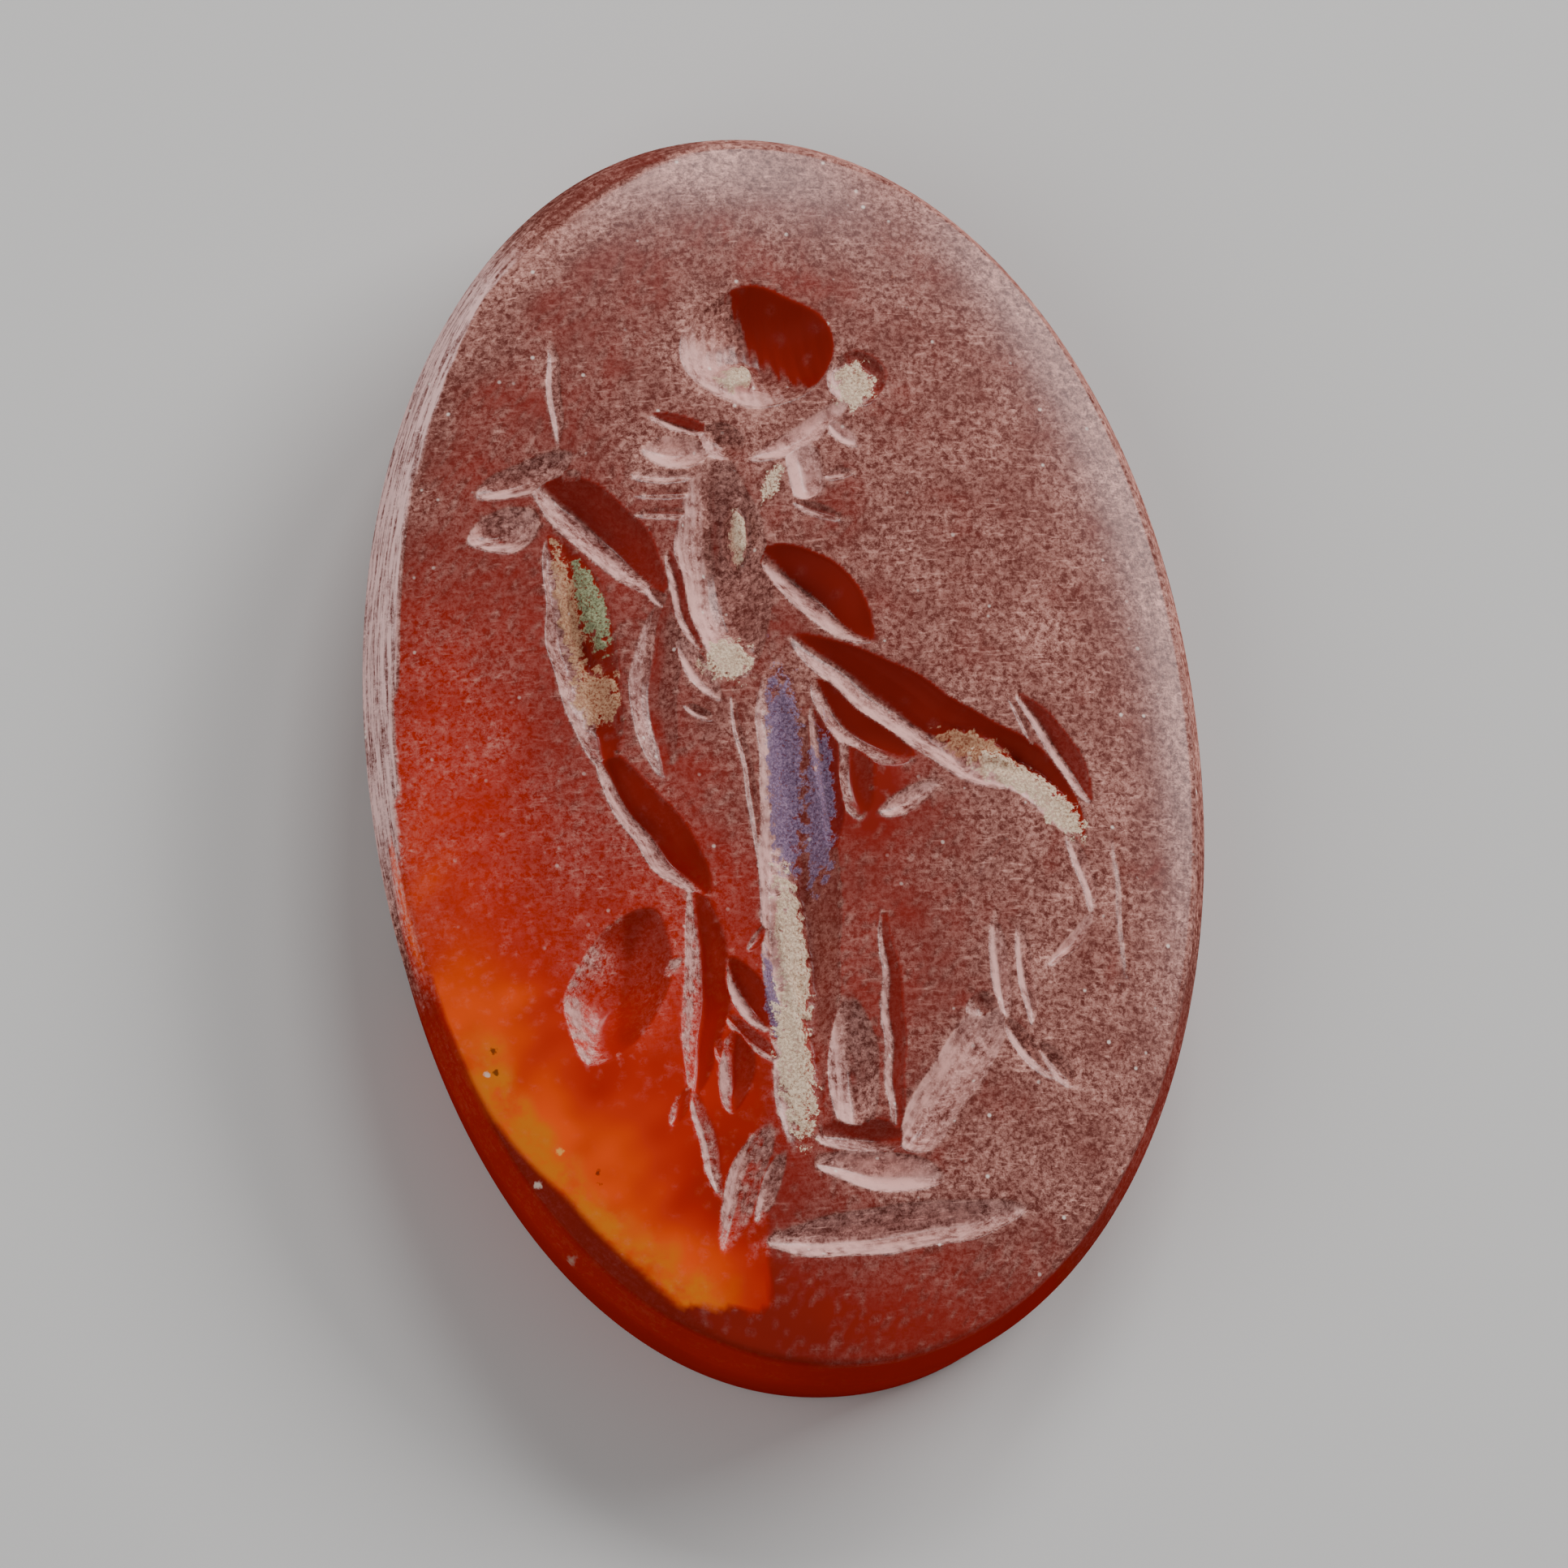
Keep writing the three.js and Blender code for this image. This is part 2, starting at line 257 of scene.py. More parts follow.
def hanging_drapery():
    leaf = [at(-0.231, 0.745), at(-0.214, 0.684), at(-0.21, 0.614), at(-0.197, 0.485)]
    middle = [at(-0.205, 0.508), at(-0.159, 0.431), at(-0.106, 0.346)]
    lower = [at(-0.122, 0.366), at(-0.114, 0.295), at(-0.123, 0.218), at(-0.142, 0.14)]
    return [
        WheelCut(leaf, 0.07, 0.03, ribs=5, clean=0.45, pale=-0.2),
        WheelCut(middle, 0.052, 0.028, ribs=5, clean=0.9, pale=-0.15),
        WheelCut(lower, 0.045, 0.022, ribs=4, clean=0.8, pale=-0.1),
        WheelCut([at(-0.143, 0.152), at(-0.167, 0.108)], 0.014, 0.007),
        WheelCut([at(-0.143, 0.155), at(-0.123, 0.034)], 0.016, 0.007, pale=0.3),
        WheelCut([at(-0.118, 0.219), at(-0.107, 0.167)], 0.012, 0.005),
    ]


def hip_and_waist():
    oval = [at(-0.11, 0.682), at(-0.135, 0.6), at(-0.143, 0.539), at(-0.139, 0.476)]
    return [
        WheelCut(oval, 0.048, 0.018, ribs=5, clean=0.2, pale=-0.05),
        WheelCut([at(-0.112, 0.716), at(-0.091, 0.612)], 0.023, 0.014, clean=0.8),
        WheelCut([at(-0.122, 0.635), at(-0.073, 0.557)], 0.023, 0.011, pale=0.3),
        WheelCut([at(-0.112, 0.618), at(-0.082, 0.572)], 0.01, 0.007),
        WheelCut([at(-0.112, 0.554), at(-0.084, 0.535)], 0.011, 0.006),
    ]


def standing_body():
    main = [at(-0.019, 0.59), at(-0.008, 0.471), at(-0.01, 0.35), at(-0.021, 0.221), at(-0.04, 0.075)]
    return [
        WheelCut(main, 0.083, 0.036, ribs=7, clean=0.4),
        WheelCut([at(0.021, 0.55), at(0.03, 0.461), at(0.017, 0.37)], 0.031, 0.02, clean=0.9),
        WheelCut([at(-0.037, 0.452), at(-0.027, 0.343)], 0.019, 0.012, clean=0.8),
        WheelCut([at(-0.063, 0.58), at(-0.05, 0.445), at(-0.043, 0.346)], 0.01, 0.004),
        WheelCut([at(-0.092, 0.282), at(-0.072, 0.236), at(-0.052, 0.204)], 0.04, 0.02, clean=0.9),
        WheelCut([at(-0.085, 0.21), at(-0.104, 0.118)], 0.035, 0.018, clean=0.8),
        WheelCut([at(-0.104, 0.224), at(-0.048, 0.167)], 0.016, 0.008),
        WheelCut([at(-0.07, 0.289), at(-0.04, 0.324)], 0.013, 0.007),
    ]


def lowered_arm_and_cloak():
    arm = [at(0.004, 0.624), at(0.099, 0.557), at(0.179, 0.498), at(0.246, 0.462), at(0.289, 0.394)]
    return [
        WheelCut(arm, 0.068, 0.034, ribs=6, clean=1.0),
        WheelCut([at(0.237, 0.552), at(0.276, 0.496), at(0.302, 0.434)], 0.026, 0.014, clean=0.9),
        WheelCut([at(0.023, 0.574), at(0.068, 0.518), at(0.12, 0.486)], 0.048, 0.02, clean=1.0),
        WheelCut([at(0.06, 0.526), at(0.058, 0.424)], 0.044, 0.015, clean=0.6),
        WheelCut([at(0.077, 0.43), at(0.147, 0.461)], 0.022, 0.01, ribs=4, clean=0.1, pale=0.4),
        WheelCut([at(0.274, 0.406), at(0.294, 0.346), at(0.295, 0.312)], 0.015, 0.007, pale=0.25),
        WheelCut([at(0.297, 0.319), at(0.269, 0.288), at(0.239, 0.261)], 0.014, 0.008, pale=0.35),
        WheelCut([at(0.228, 0.547), at(0.246, 0.494)], 0.006, 0.003),
        WheelCut([at(0.212, 0.403), at(0.177, 0.358)], 0.006, 0.0025),
        WheelCut([at(0.324, 0.39), at(0.325, 0.255)], 0.007, 0.002),
    ]


def round_pit():
    return [
        WheelCut([at(-0.163, 0.336), at(-0.205, 0.261), at(-0.248, 0.181)], 0.096, 0.04, clean=0.7),
        WheelCut([at(-0.206, 0.237), at(-0.137, 0.287)], 0.022, 0.01, ribs=3, clean=0.1, pale=0.35),
    ]


def stand_at_side():
    prop = [at(0.183, 0.218), at(0.076, 0.072)]
    return [
        WheelCut([at(0.029, 0.238), at(0.023, 0.086)], 0.057, 0.022, ribs=5, pale=0.15),
        WheelCut([at(-0.018, 0.092), at(0.081, 0.087)], 0.036, 0.018, clean=0.8),
        WheelCut([at(0.073, 0.33), at(0.074, 0.217), at(0.064, 0.074)], 0.02, 0.011, clean=0.8),
        WheelCut(prop, 0.052, 0.021, blunt=True, ribs=5, clean=0.15, pale=0.35),
        WheelCut([at(0.19, 0.316), at(0.191, 0.2)], 0.02, 0.009, ribs=2, pale=0.35),
        WheelCut([at(0.215, 0.307), at(0.22, 0.198)], 0.015, 0.008, pale=0.2),
        WheelCut([at(0.185, 0.21), at(0.236, 0.142)], 0.022, 0.009),
        WheelCut([at(0.224, 0.184), at(0.252, 0.133)], 0.023, 0.01),
        WheelCut([at(0.168, 0.235), at(0.168, 0.203)], 0.032, 0.011),
    ]


def feet_and_ground():
    foot = [at(-0.065, 0.108), at(-0.097, 0.045), at(-0.122, -0.024)]
    ground = [at(-0.084, -0.019), at(0.056, -0.008), at(0.199, 0.007)]
    return [
        WheelCut(foot, 0.038, 0.016, ribs=5, clean=0.1, pale=0.25),
        WheelCut([at(-0.052, 0.078), at(-0.088, 0.002)], 0.017, 0.009, clean=0.15, pale=0.3),
        WheelCut([at(-0.022, 0.063), at(0.113, 0.042)], 0.041, 0.02, ribs=3, clean=0.15, pale=0.4),
        WheelCut(ground, 0.048, 0.024, ribs=5, pale=0.35),
    ]


ALL_CUTS = [cut for part in (
    staff, head, torso_and_shoulders, raised_arm_and_hand, hanging_drapery, hip_and_waist,
    standing_body, lowered_arm_and_cloak, round_pit, stand_at_side, feet_and_ground,
) for cut in part()]
print("the figure is made of", len(ALL_CUTS), "cuts")

# %% [markdown]
# ## Small unevenness
#
# Nothing on an old stone is perfectly even. Smooth random hills, made from a few crossed
# waves with a fixed seed, give the same unevenness on every run.

# %% Smooth random hills
def hills(xy, size, seed, waves=24):
    """Smooth random values from about -1 to 1 whose bumps are about one size across."""
    draw = np.random.default_rng(seed)
    turn = draw.uniform(0, 2 * np.pi, waves)
    pitch = 2 * np.pi / size * draw.uniform(0.55, 1.3, waves)
    start = draw.uniform(0, 2 * np.pi, waves)
    total = np.zeros(len(xy))
    for angle, wave, phase in zip(turn, pitch, start):
        total += np.sin((xy @ np.array([math.cos(angle), math.sin(angle)])) * wave + phase)
    return total / math.sqrt(waves)


# %% [markdown]
# ## Crusts in the hollows
#
# Burial left matter in the deeper cuts: cream grit along the body, on the lowered arm and
# beside the head, a tan film and a green crust below the raised hand. Each is a soft patch
# with a middle, a half length, a half width and a turn. It fills its hollow up to a level
# and ends raggedly.

# %% A patch of crust
class Patch:
    """A ragged oval patch on the face: its middle, half sizes and turn, and how deep it fills."""

    def __init__(self, place, half_length, half_width, turn_deg, fill, seed, lumps=0.06):
        self.place = place
        self.half = np.array([half_width, half_length]) * FIGURE_HEIGHT
        self.turn = math.radians(turn_deg)
        self.fill = fill * FIGURE_HEIGHT
        self.seed = seed
        self.lumps = lumps

    def cover(self, xy, ragged=0.2, edge=1.8):
        """1 well inside the patch, 0 outside, ragged in between."""
        c, s = math.cos(self.turn), math.sin(self.turn)
        local = (xy - self.place) @ np.array([[c, -s], [s, c]])
        reach = 1 - np.sqrt(((local / self.half) ** 2).sum(axis=1))
        uneven = hills(xy, 0.14 * MM, self.seed) + 0.5 * hills(xy, 0.06 * MM, self.seed + 1)
        return np.clip((reach + ragged * uneven) * edge + 0.5, 0, 1)


CREAM = [
    Patch(at(-0.034, 0.165), 0.085, 0.019, 3, 0.024, 11),
    Patch(at(-0.022, 0.29), 0.09, 0.017, 0, 0.018, 12),
    Patch(at(0.226, 0.465), 0.048, 0.017, 58, 0.016, 13),
    Patch(at(0.268, 0.424), 0.036, 0.017, 42, 0.014, 14),
    Patch(at(0.1, 0.888), 0.027, 0.02, -15, 0.014, 15),
    Patch(at(-0.062, 0.6), 0.026, 0.026, 0, 0.022, 16),
    Patch(at(-0.035, 0.735), 0.026, 0.008, 0, 0.02, 17),
    Patch(at(-0.02, 0.905), 0.014, 0.022, 30, 0.02, 18),
    Patch(at(0.003, 0.787), 0.024, 0.010, -35, 0.0, 19),
]
TAN = [
    Patch(at(-0.219, 0.66), 0.07, 0.012, 6, 0.010, 31),
    Patch(at(-0.2, 0.57), 0.03, 0.025, 10, 0.008, 32),
    Patch(at(0.19, 0.5), 0.04, 0.013, 62, 0.010, 33),
]
GREEN = [Patch(at(-0.196, 0.665), 0.05, 0.013, 12, 0.022, 41, lumps=0.2)]
BLUE = [
    Patch(at(-0.012, 0.48), 0.115, 0.019, -2, 0.004, 51),
    Patch(at(0.022, 0.44), 0.08, 0.014, -6, 0.002, 52),
    Patch(at(-0.05, 0.24), 0.055, 0.007, 3, 0.002, 53),
]


def covered(patches, xy):
    """The strongest cover of any of the patches at each point."""
    return np.max([patch.cover(xy) for patch in patches], axis=0)


for name, patches in (("cream", CREAM), ("tan", TAN), ("green", GREEN), ("blue", BLUE)):
    print(len(patches), "patches of", name)


# %% [markdown]
# ## Engraving the face
#
# The depth of the face at a point is that of the deepest cut there, because a later cut
# swallows a shallower one. A tiny rounding at zero depth wears the rims of the cuts, and
# wheel ribs run along the wider ones. The same pass notes what the material will need:
# how deep the point lies, and how the wall there faces.

# %% Depth of the carving
RIM_WEAR = 0.014 * MM
RIB_DEPTH = 0.0035 * MM
WANDER = 0.02 * MM
RIBS_FULL_DEPTH = 0.05 * MM
FAR_OUTSIDE = -0.2 * MM
LEAST_LEFT_BY_CRUST = 0.15


def wander(xy):
    """A small sideways shift that makes the outlines of the cuts a little uneven."""
    return WANDER * np.column_stack([hills(xy, 0.8 * MM, 61), hills(xy, 0.8 * MM, 63)])


def carve(xy):
    """Depth of every point, the wheel's streaks, and how polished and how pale the cut is."""
    deepest = np.full(len(xy), -1.0)
    streaks = np.zeros(len(xy))
    clean = np.zeros(len(xy))
    pale = np.zeros(len(xy))
    xy = xy + wander(xy)
    for cut in ALL_CUTS:
        found, depth, along, across = cut.dig(xy)
        ribs = np.zeros(len(found))
        if cut.ribs:
            inside = np.clip(depth / RIBS_FULL_DEPTH, 0, 1)
            ribs = np.sin(across * cut.ribs * np.pi + 2 * along)
            ribs = (0.6 * ribs + 0.4 * np.sin(across * cut.ribs * 2.3 * np.pi - along)) * inside
            depth = depth + RIB_DEPTH * ribs
        deeper = depth > deepest[found]
        streaks[found[deeper]] = ribs[deeper]
        clean[found[deeper]] = cut.clean
        pale[found[deeper]] = cut.pale
        deepest[found] = np.maximum(deepest[found], depth)
    worn = 0.5 * (deepest + np.sqrt(deepest ** 2 + RIM_WEAR ** 2))
    return np.where(deepest > FAR_OUTSIDE, worn, 0), streaks, clean, pale


def crust_fill(xy, depth):
    """Depth again, with the hollows filled by their crusts."""
    for patches in (CREAM, TAN, GREEN, BLUE):
        for patch in patches:
            cover = patch.cover(xy, ragged=0.05, edge=1.6)
            lumps = 1 + patch.lumps * hills(xy, 0.1 * MM, patch.seed + 100)
            raised = np.maximum(depth - patch.fill * lumps, LEAST_LEFT_BY_CRUST * depth)
            depth = depth + cover * (raised - depth)
    return depth


depth_of_head = carve(np.array([at(0.002, 0.935)]))[0][0]
print("the hollow of the head is", round(depth_of_head / MM, 2), "mm deep")


# %% [markdown]
# ## The hand cut edge
#
# The edge of the face isn't quite even: on the left and at the lower left the bevel reaches
# a little way in over the face, as a narrow strip that a flat hone would leave. Its width
# is given at a few angles around the stone, and the face slopes down from its inner line.

# %% Around the edge
STRIP_SLOPE = 1.6 * MM
STRIP_ANGLES = [0, 92, 106, 118, 130, 142, 172, 182, 190, 215, 228, 240, 252, 270, 360]
STRIP_WIDTHS = [0, 0, 0.026, 0.032, 0.014, 0.028, 0.034, 0.02, 0, 0.008, 0.042, 0.036, 0.01, 0, 0]


def rise(values, low, high):
    """Smooth step from 0 at low to 1 at high."""
    t = np.clip((values - low) / (high - low), 0, 1)
    return t * t * (3 - 2 * t)


def angle_around(xy):
    """Degrees around the stone: 0 at the right, 90 at the head, 180 at the left."""
    return np.degrees(np.arctan2(xy[:, 1] / GIRDLE[1], xy[:, 0] / GIRDLE[0])) % 360


def over_strip(xy):
    """How far a point lies out on the hand cut strip along the face's edge, in shares."""
    width = np.interp(angle_around(xy), STRIP_ANGLES, STRIP_WIDTHS)
    return np.where(width > 0, oval_share(xy, FACE) - 1 + width, 0)


print("the strip is at most", round(max(STRIP_WIDTHS) * FACE[0] / MM, 2), "mm wide")


# %% [markdown]
# ## Modelling the blank
#
# The stone starts as a flat square grid, because even squares take the carving best. Its
# points are carried onto the oval, the open edge is extruded down over the bevel and the
# wall to the back, and the back is closed.

# %% The face grid
GRID_ACROSS = 124
GRID_ALONG = 190

bpy.ops.object.select_all(action="DESELECT")
bpy.ops.mesh.primitive_grid_add(x_subdivisions=GRID_ACROSS, y_subdivisions=GRID_ALONG, size=2)
stone = bpy.context.active_object
stone.name = "carnelian_ring_stone"


def read_points(mesh):
    flat = np.empty(len(mesh.vertices) * 3)
    mesh.vertices.foreach_get("co", flat)
    return flat.reshape(-1, 3)


def write_points(mesh, points):
    mesh.vertices.foreach_set("co", points.ravel())
    mesh.update()


square = read_points(stone.data)[:, :2]
disc = np.column_stack([
    square[:, 0] * np.sqrt(1 - square[:, 1] ** 2 / 2),
    square[:, 1] * np.sqrt(1 - square[:, 0] ** 2 / 2),
])
face_xy = onto_oval(disc, FACE)
write_points(stone.data, np.column_stack([face_xy, dome_height(face_xy)]))
print("the face starts with", len(stone.data.polygons), "squares")

# %% The edge, the wall and the back
BEVEL_ROWS = 4
WALL_ROWS = 5
BACK_ROWS = 3


def side_rows():
    """Half sizes, height and share of the back's shift, for each row down to the back."""
    rows = []
    for k in range(1, BEVEL_ROWS + 1):
        share = k / BEVEL_ROWS
        rows.append((FACE + BEVEL_WIDTH * share, FACE_EDGE_HEIGHT - BEVEL_DROP * share, 0.0))
    for k in range(1, WALL_ROWS + 1):
        share = k / WALL_ROWS
        height = GIRDLE_HEIGHT + (BACK_EASE - GIRDLE_HEIGHT) * share
        rows.append((GIRDLE - WALL_TAPER * share, height, share))
    for k in range(1, BACK_ROWS + 1):
        angle = k / BACK_ROWS * math.pi / 2
        inset = BACK_EASE * (1 - math.cos(angle))
        rows.append((BACK - inset, BACK_EASE * (1 - math.sin(angle)), 1.0))
    rows.append((BACK - 3 * BACK_EASE, 0.0, 1.0))
    return rows


bpy.ops.object.mode_set(mode="EDIT")
bpy.ops.mesh.select_all(action="DESELECT")
bpy.ops.mesh.select_non_manifold()
last_half, last_shift = FACE, np.zeros(2)
for half, height, shift_share in side_rows():
    bpy.ops.mesh.extrude_region_move(TRANSFORM_OT_translate={"value": (0, 0, 0)})
    bpy.ops.object.mode_set(mode="OBJECT")
    chosen = np.zeros(len(stone.data.vertices), dtype=bool)
    stone.data.vertices.foreach_get("select", chosen)
    points = read_points(stone.data)
    heading = (points[chosen, :2] - last_shift) / last_half
    heading /= np.hypot(heading[:, 0], heading[:, 1])[:, None]
    last_half, last_shift = half, BACK_SHIFT * shift_share
    points[chosen, :2] = onto_oval(heading, half) + last_shift
    points[chosen, 2] = height
    write_points(stone.data, points)
    bpy.ops.object.mode_set(mode="EDIT")
bpy.ops.mesh.edge_face_add()
bpy.ops.mesh.poke()
bpy.ops.mesh.select_all(action="SELECT")
bpy.ops.mesh.normals_make_consistent(inside=False)
bpy.ops.object.mode_set(mode="OBJECT")
print("with its side and back the blank has", len(stone.data.polygons), "faces")

# %% [markdown]
# ## Fine squares only where they count
#
# A mesh fine enough for the sharp rims would be far too heavy if it were that fine all over.
# So the depth is compared at each square's middle and a step to either side of it, and the
# squares where it bends most are picked and subdivided, first with a wide step and then
# with a short one.

# %% Finer squares where the carving lies
FINE_SQUARES = (7500, 9000)
FINE_STEPS = (0.04 * MM, 0.02 * MM)


def bend_of_carving(xy, step):
    """How strongly the carved face bends within a step of each point, in metres."""
    here = carve(xy)[0]
    bend = np.zeros(len(xy))
    for turn in range(4):
        aside = step * np.array([math.cos(turn * math.pi / 4), math.sin(turn * math.pi / 4)])
        bend = np.maximum(bend, np.abs(carve(xy + aside)[0] + carve(xy - aside)[0] - 2 * here))
    return bend


for count, step in zip(FINE_SQUARES, FINE_STEPS):
    mesh = stone.data
    centres = np.empty(len(mesh.polygons) * 3)
    mesh.polygons.foreach_get("center", centres)
    centres = centres.reshape(-1, 3)
    on_face = centres[:, 2] > FACE_EDGE_HEIGHT
    bend = np.zeros(len(centres))
    bend[on_face] = bend_of_carving(centres[on_face, :2], step)
    chosen = bend >= np.sort(bend)[-count]
    bpy.ops.object.mode_set(mode="EDIT")
    bpy.ops.mesh.select_mode(type="FACE")
    bpy.ops.mesh.select_all(action="DESELECT")
    bpy.ops.object.mode_set(mode="OBJECT")
    mesh.polygons.foreach_set("select", chosen)
    bpy.ops.object.mode_set(mode="EDIT")
    bpy.ops.mesh.subdivide(number_cuts=1, ngon=False, quadcorner="INNERVERT")
    bpy.ops.object.mode_set(mode="OBJECT")
    print(int(chosen.sum()), "squares made finer:",
          sum(len(p.vertices) - 2 for p in stone.data.polygons), "triangles")

# %% [markdown]
# ## Cutting the figure
#
# Every point of the face now drops by the depth that the cuts have there, less the crust
# that fills it, and along the edge it follows the slope of the strip. The depth on either
# side of a point also tells which way its wall faces, for the frost and the painted light
# and shade that come next.

# %% Press the carving into the face
TOUCHING = 1e-9
points = read_points(stone.data)
on_face = points[:, 2] > FACE_EDGE_HEIGHT - TOUCHING
face_xy = points[on_face, :2]
bare_depth, streaks, clean, pale = carve(face_xy)
depth = crust_fill(face_xy, bare_depth)
honed_off = STRIP_SLOPE * np.maximum(over_strip(face_xy), 0)
points[on_face, 2] = dome_height(face_xy) - depth - honed_off
write_points(stone.data, points)
print("the deepest cut is", round(depth.max() / MM, 3), "mm deep")

# %% Which way the walls of the cuts face
LEAN_STEP = 0.025 * MM
LIT_HEADING = math.radians(32)


def lean_of_walls(xy):
    """Steepness of the carving, counted up where a wall faces the upper right."""
    step = np.array([math.cos(LIT_HEADING), math.sin(LIT_HEADING)]) * LEAN_STEP
    return (carve(xy + step)[0] - carve(xy - step)[0]) / (2 * LEAN_STEP)


lean = lean_of_walls(face_xy)
print("the walls lean from", lean.min().round(2), "to", lean.max().round(2))

# %% [markdown]
# ## The frost of wear, and painted light
#
# The frost is thick on the right, thin at the upper left and almost gone at the lower left.
# It is a sum of soft spots, with more on the rims and where a cut is marked pale, and less
# where a cut is marked clean; only walls that face away from the lamp take that, as
# painted shade. Painted light is added to the same amount: a pale wash on the walls that
# face the lamp, a little on the walls that face away, a highlight along the top rim and
# one glint.

# %% Soft spots
CUT_SHOWS_DEPTH = 0.03 * MM


def soft_spot(xy, place, half_across, half_up, turn_deg=0.0):
    """1 in the middle of a soft oval, fading to nothing outside it."""
    c, s = math.cos(math.radians(turn_deg)), math.sin(math.radians(turn_deg))
    local = (xy - place) @ np.array([[c, -s], [s, c]])
    half = np.array([half_across, half_up]) * FIGURE_HEIGHT
    return np.exp(-((local / half) ** 2).sum(axis=1))


# %% The frost of wear, with painted light
FROST_EVEN = 0.17
FROST_AND_GLINT_SPOTS = [
    (at(0.33, 0.55), 0.17, 0.45, 0, 0.06),
    (at(0.25, 0.15), 0.14, 0.14, 0, 0.06),
    (at(-0.27, 0.72), 0.15, 0.24, 0, -0.09),
    (at(-0.08, 1.0), 0.14, 0.06, 0, -0.05),
    (at(-0.36, 0.2), 0.17, 0.3, -12, -0.17),
    (at(-0.095, 0.822), 0.04, 0.03, 0, 0.3),
    (at(0.035, 0.798), 0.024, 0.022, 0, 0.22),
    (at(0.0, 0.862), 0.035, 0.02, 20, 0.16),
    (at(-0.045, 0.93), 0.035, 0.055, 0, 0.3),
    # painted highlight: a pale spot for the glint on the upper ground stroke
    (at(0.043, 0.045), 0.03, 0.008, -5, 0.5),
    (at(-0.17, 0.06), 0.14, 0.16, 40, -0.19),
    (at(0.02, -0.11), 0.3, 0.08, 0, -0.15),
    (at(0.09, 0.3), 0.08, 0.22, 0, -0.1),
    (at(-0.08, 0.25), 0.07, 0.2, 0, -0.1),
    (at(0.07, 0.46), 0.05, 0.07, 0, -0.17),
    (at(-0.06, 0.76), 0.1, 0.08, 0, -0.05),
]


def frost_and_painted_light_on_face(xy, depth, lean, streaks, clean, pale):
    """How pale and dusty each point of the face is, from its place and its cut, with painted light on
    the lamp side of the walls and a painted highlight on the top rim.
    """
    frost_and_painted_light = np.full(len(xy), FROST_EVEN)
    for place, half_across, half_up, turn, amount in FROST_AND_GLINT_SPOTS:
        frost_and_painted_light += amount * soft_spot(xy, place, half_across, half_up, turn)
    frost_and_painted_light *= 1 + 0.2 * hills(xy, 1.1 * MM, 71) + 0.12 * hills(xy, 0.35 * MM, 72)
    # painted highlight, partly frost: the top rim is paler where the top lamp's highlight falls on it
    rim_highlight_and_frost = np.interp(angle_around(xy), [0, 60, 84, 98, 122, 136, 160, 300, 330, 360],
                          [1, 0.9, 1.5, 2.6, 2.6, 0.8, 0, 0, 0.5, 1])
    frost_and_painted_light += 0.14 * rim_highlight_and_frost * rise(oval_share(xy, FACE), 0.88, 0.98)
    streaked = 1 + 0.35 * streaks + 0.3 * hills(xy, 0.16 * MM, 73) + 0.25 * hills(xy, 0.5 * MM, 77)
    # painted light: the walls that face the lamp get a pale wash added to the frost
    lit = 0.34 * rise(lean, 0.08, 0.6) + 0.34 * rise(lean, 0.45, 1.3)
    frost_and_painted_light += lit * np.clip(streaked, 0.1, 2)
    frost_and_painted_light += pale * np.clip(depth / CUT_SHOWS_DEPTH, 0, 1) * streaked
    # painted light: the walls that face away get a little too, lifting their shade
    frost_and_painted_light += 0.1 * rise(-lean, 0.1, 0.6)
    rim = np.exp(-((depth / MM - 0.018) / 0.014) ** 2)
    frost_and_painted_light += 0.35 * rim * rise(hills(xy, 0.15 * MM, 75) + 0.4 * hills(xy, 0.5 * MM, 76), 0.3, 1.2)
    # painted shade, partly polish: clean walls facing away from the lamp lose their frost and show dark
    # red
    frost_and_painted_light = np.clip(frost_and_painted_light * (1 - clean), 0.0, 1)
    # the strip takes the bevel's painted highlight and frost
    strip = rise(over_strip(xy), 0.0, 0.004)
    return frost_and_painted_light + strip * (frost_and_painted_light_on_side(xy, FACE_EDGE_HEIGHT) - frost_and_painted_light)


def frost_and_painted_light_on_side(xy, height):
    """Painted highlights on the bevel where it faces the lamps, partly frosted: pale at the left, the
    top and the right, glassy and dark at the top left and the lower left.
    """
    angle = angle_around(xy)
    # painted highlights: pale where the bevel faces the lamps, dark where it faces away
    bevel = np.interp(angle, [0, 60, 88, 100, 118, 132, 182, 203, 300, 330, 360],
                      [0.5, 0.5, 0.45, 0.14, 0.18, 1.0, 0.9, 0.02, 0.0, 0.1, 0.5])
    on_wall = rise(-height, -GIRDLE_HEIGHT, 0.5 * MM - GIRDLE_HEIGHT)
    kept_on_wall = np.interp(angle, [0, 118, 132, 182, 203, 360], [0.2, 0.2, 0.3, 0.3, 0.2, 0.2])
    return bevel * (1 - on_wall * (1 - kept_on_wall))


print("the frost has", len(FROST_AND_GLINT_SPOTS), "soft spots")

# %% [markdown]
# ## The orange zone
#
# The lower left of the stone is thin enough for light to come through, and glows orange,
# with a yellow band along the edge. Real light inside the stone would be slow and would
# not travel with an exported model, so the glow is a colour of its own: a soft sum of
# spots, cut off where the crack ends it and where the strip turns down to the side.

# %% The orange zone
GLOW_SPOTS = [
    (at(-0.37, 0.19), 0.11, 0.18, 0, 0.9),
    (at(-0.28, 0.06), 0.10, 0.14, 40, 0.95),
    (at(-0.16, -0.05), 0.07, 0.11, 60, 0.8),
    (at(-0.38, 0.42), 0.09, 0.19, 0, 0.48),
    (at(-0.19, 0.18), 0.14, 0.2, 0, 0.42),
]
CRACK_END = [at(-0.074, 0.02), at(-0.079, -0.12)]
CRACK_FOOT = [at(-0.172, -0.078), at(-0.07, -0.09)]


def side_of(xy, line):
    """Signed distance from a straight line, above 0 on its left."""
    start, end = line
    run = (end - start) / np.hypot(*(end - start))
    away = xy - start
    return run[0] * away[:, 1] - run[1] * away[:, 0]


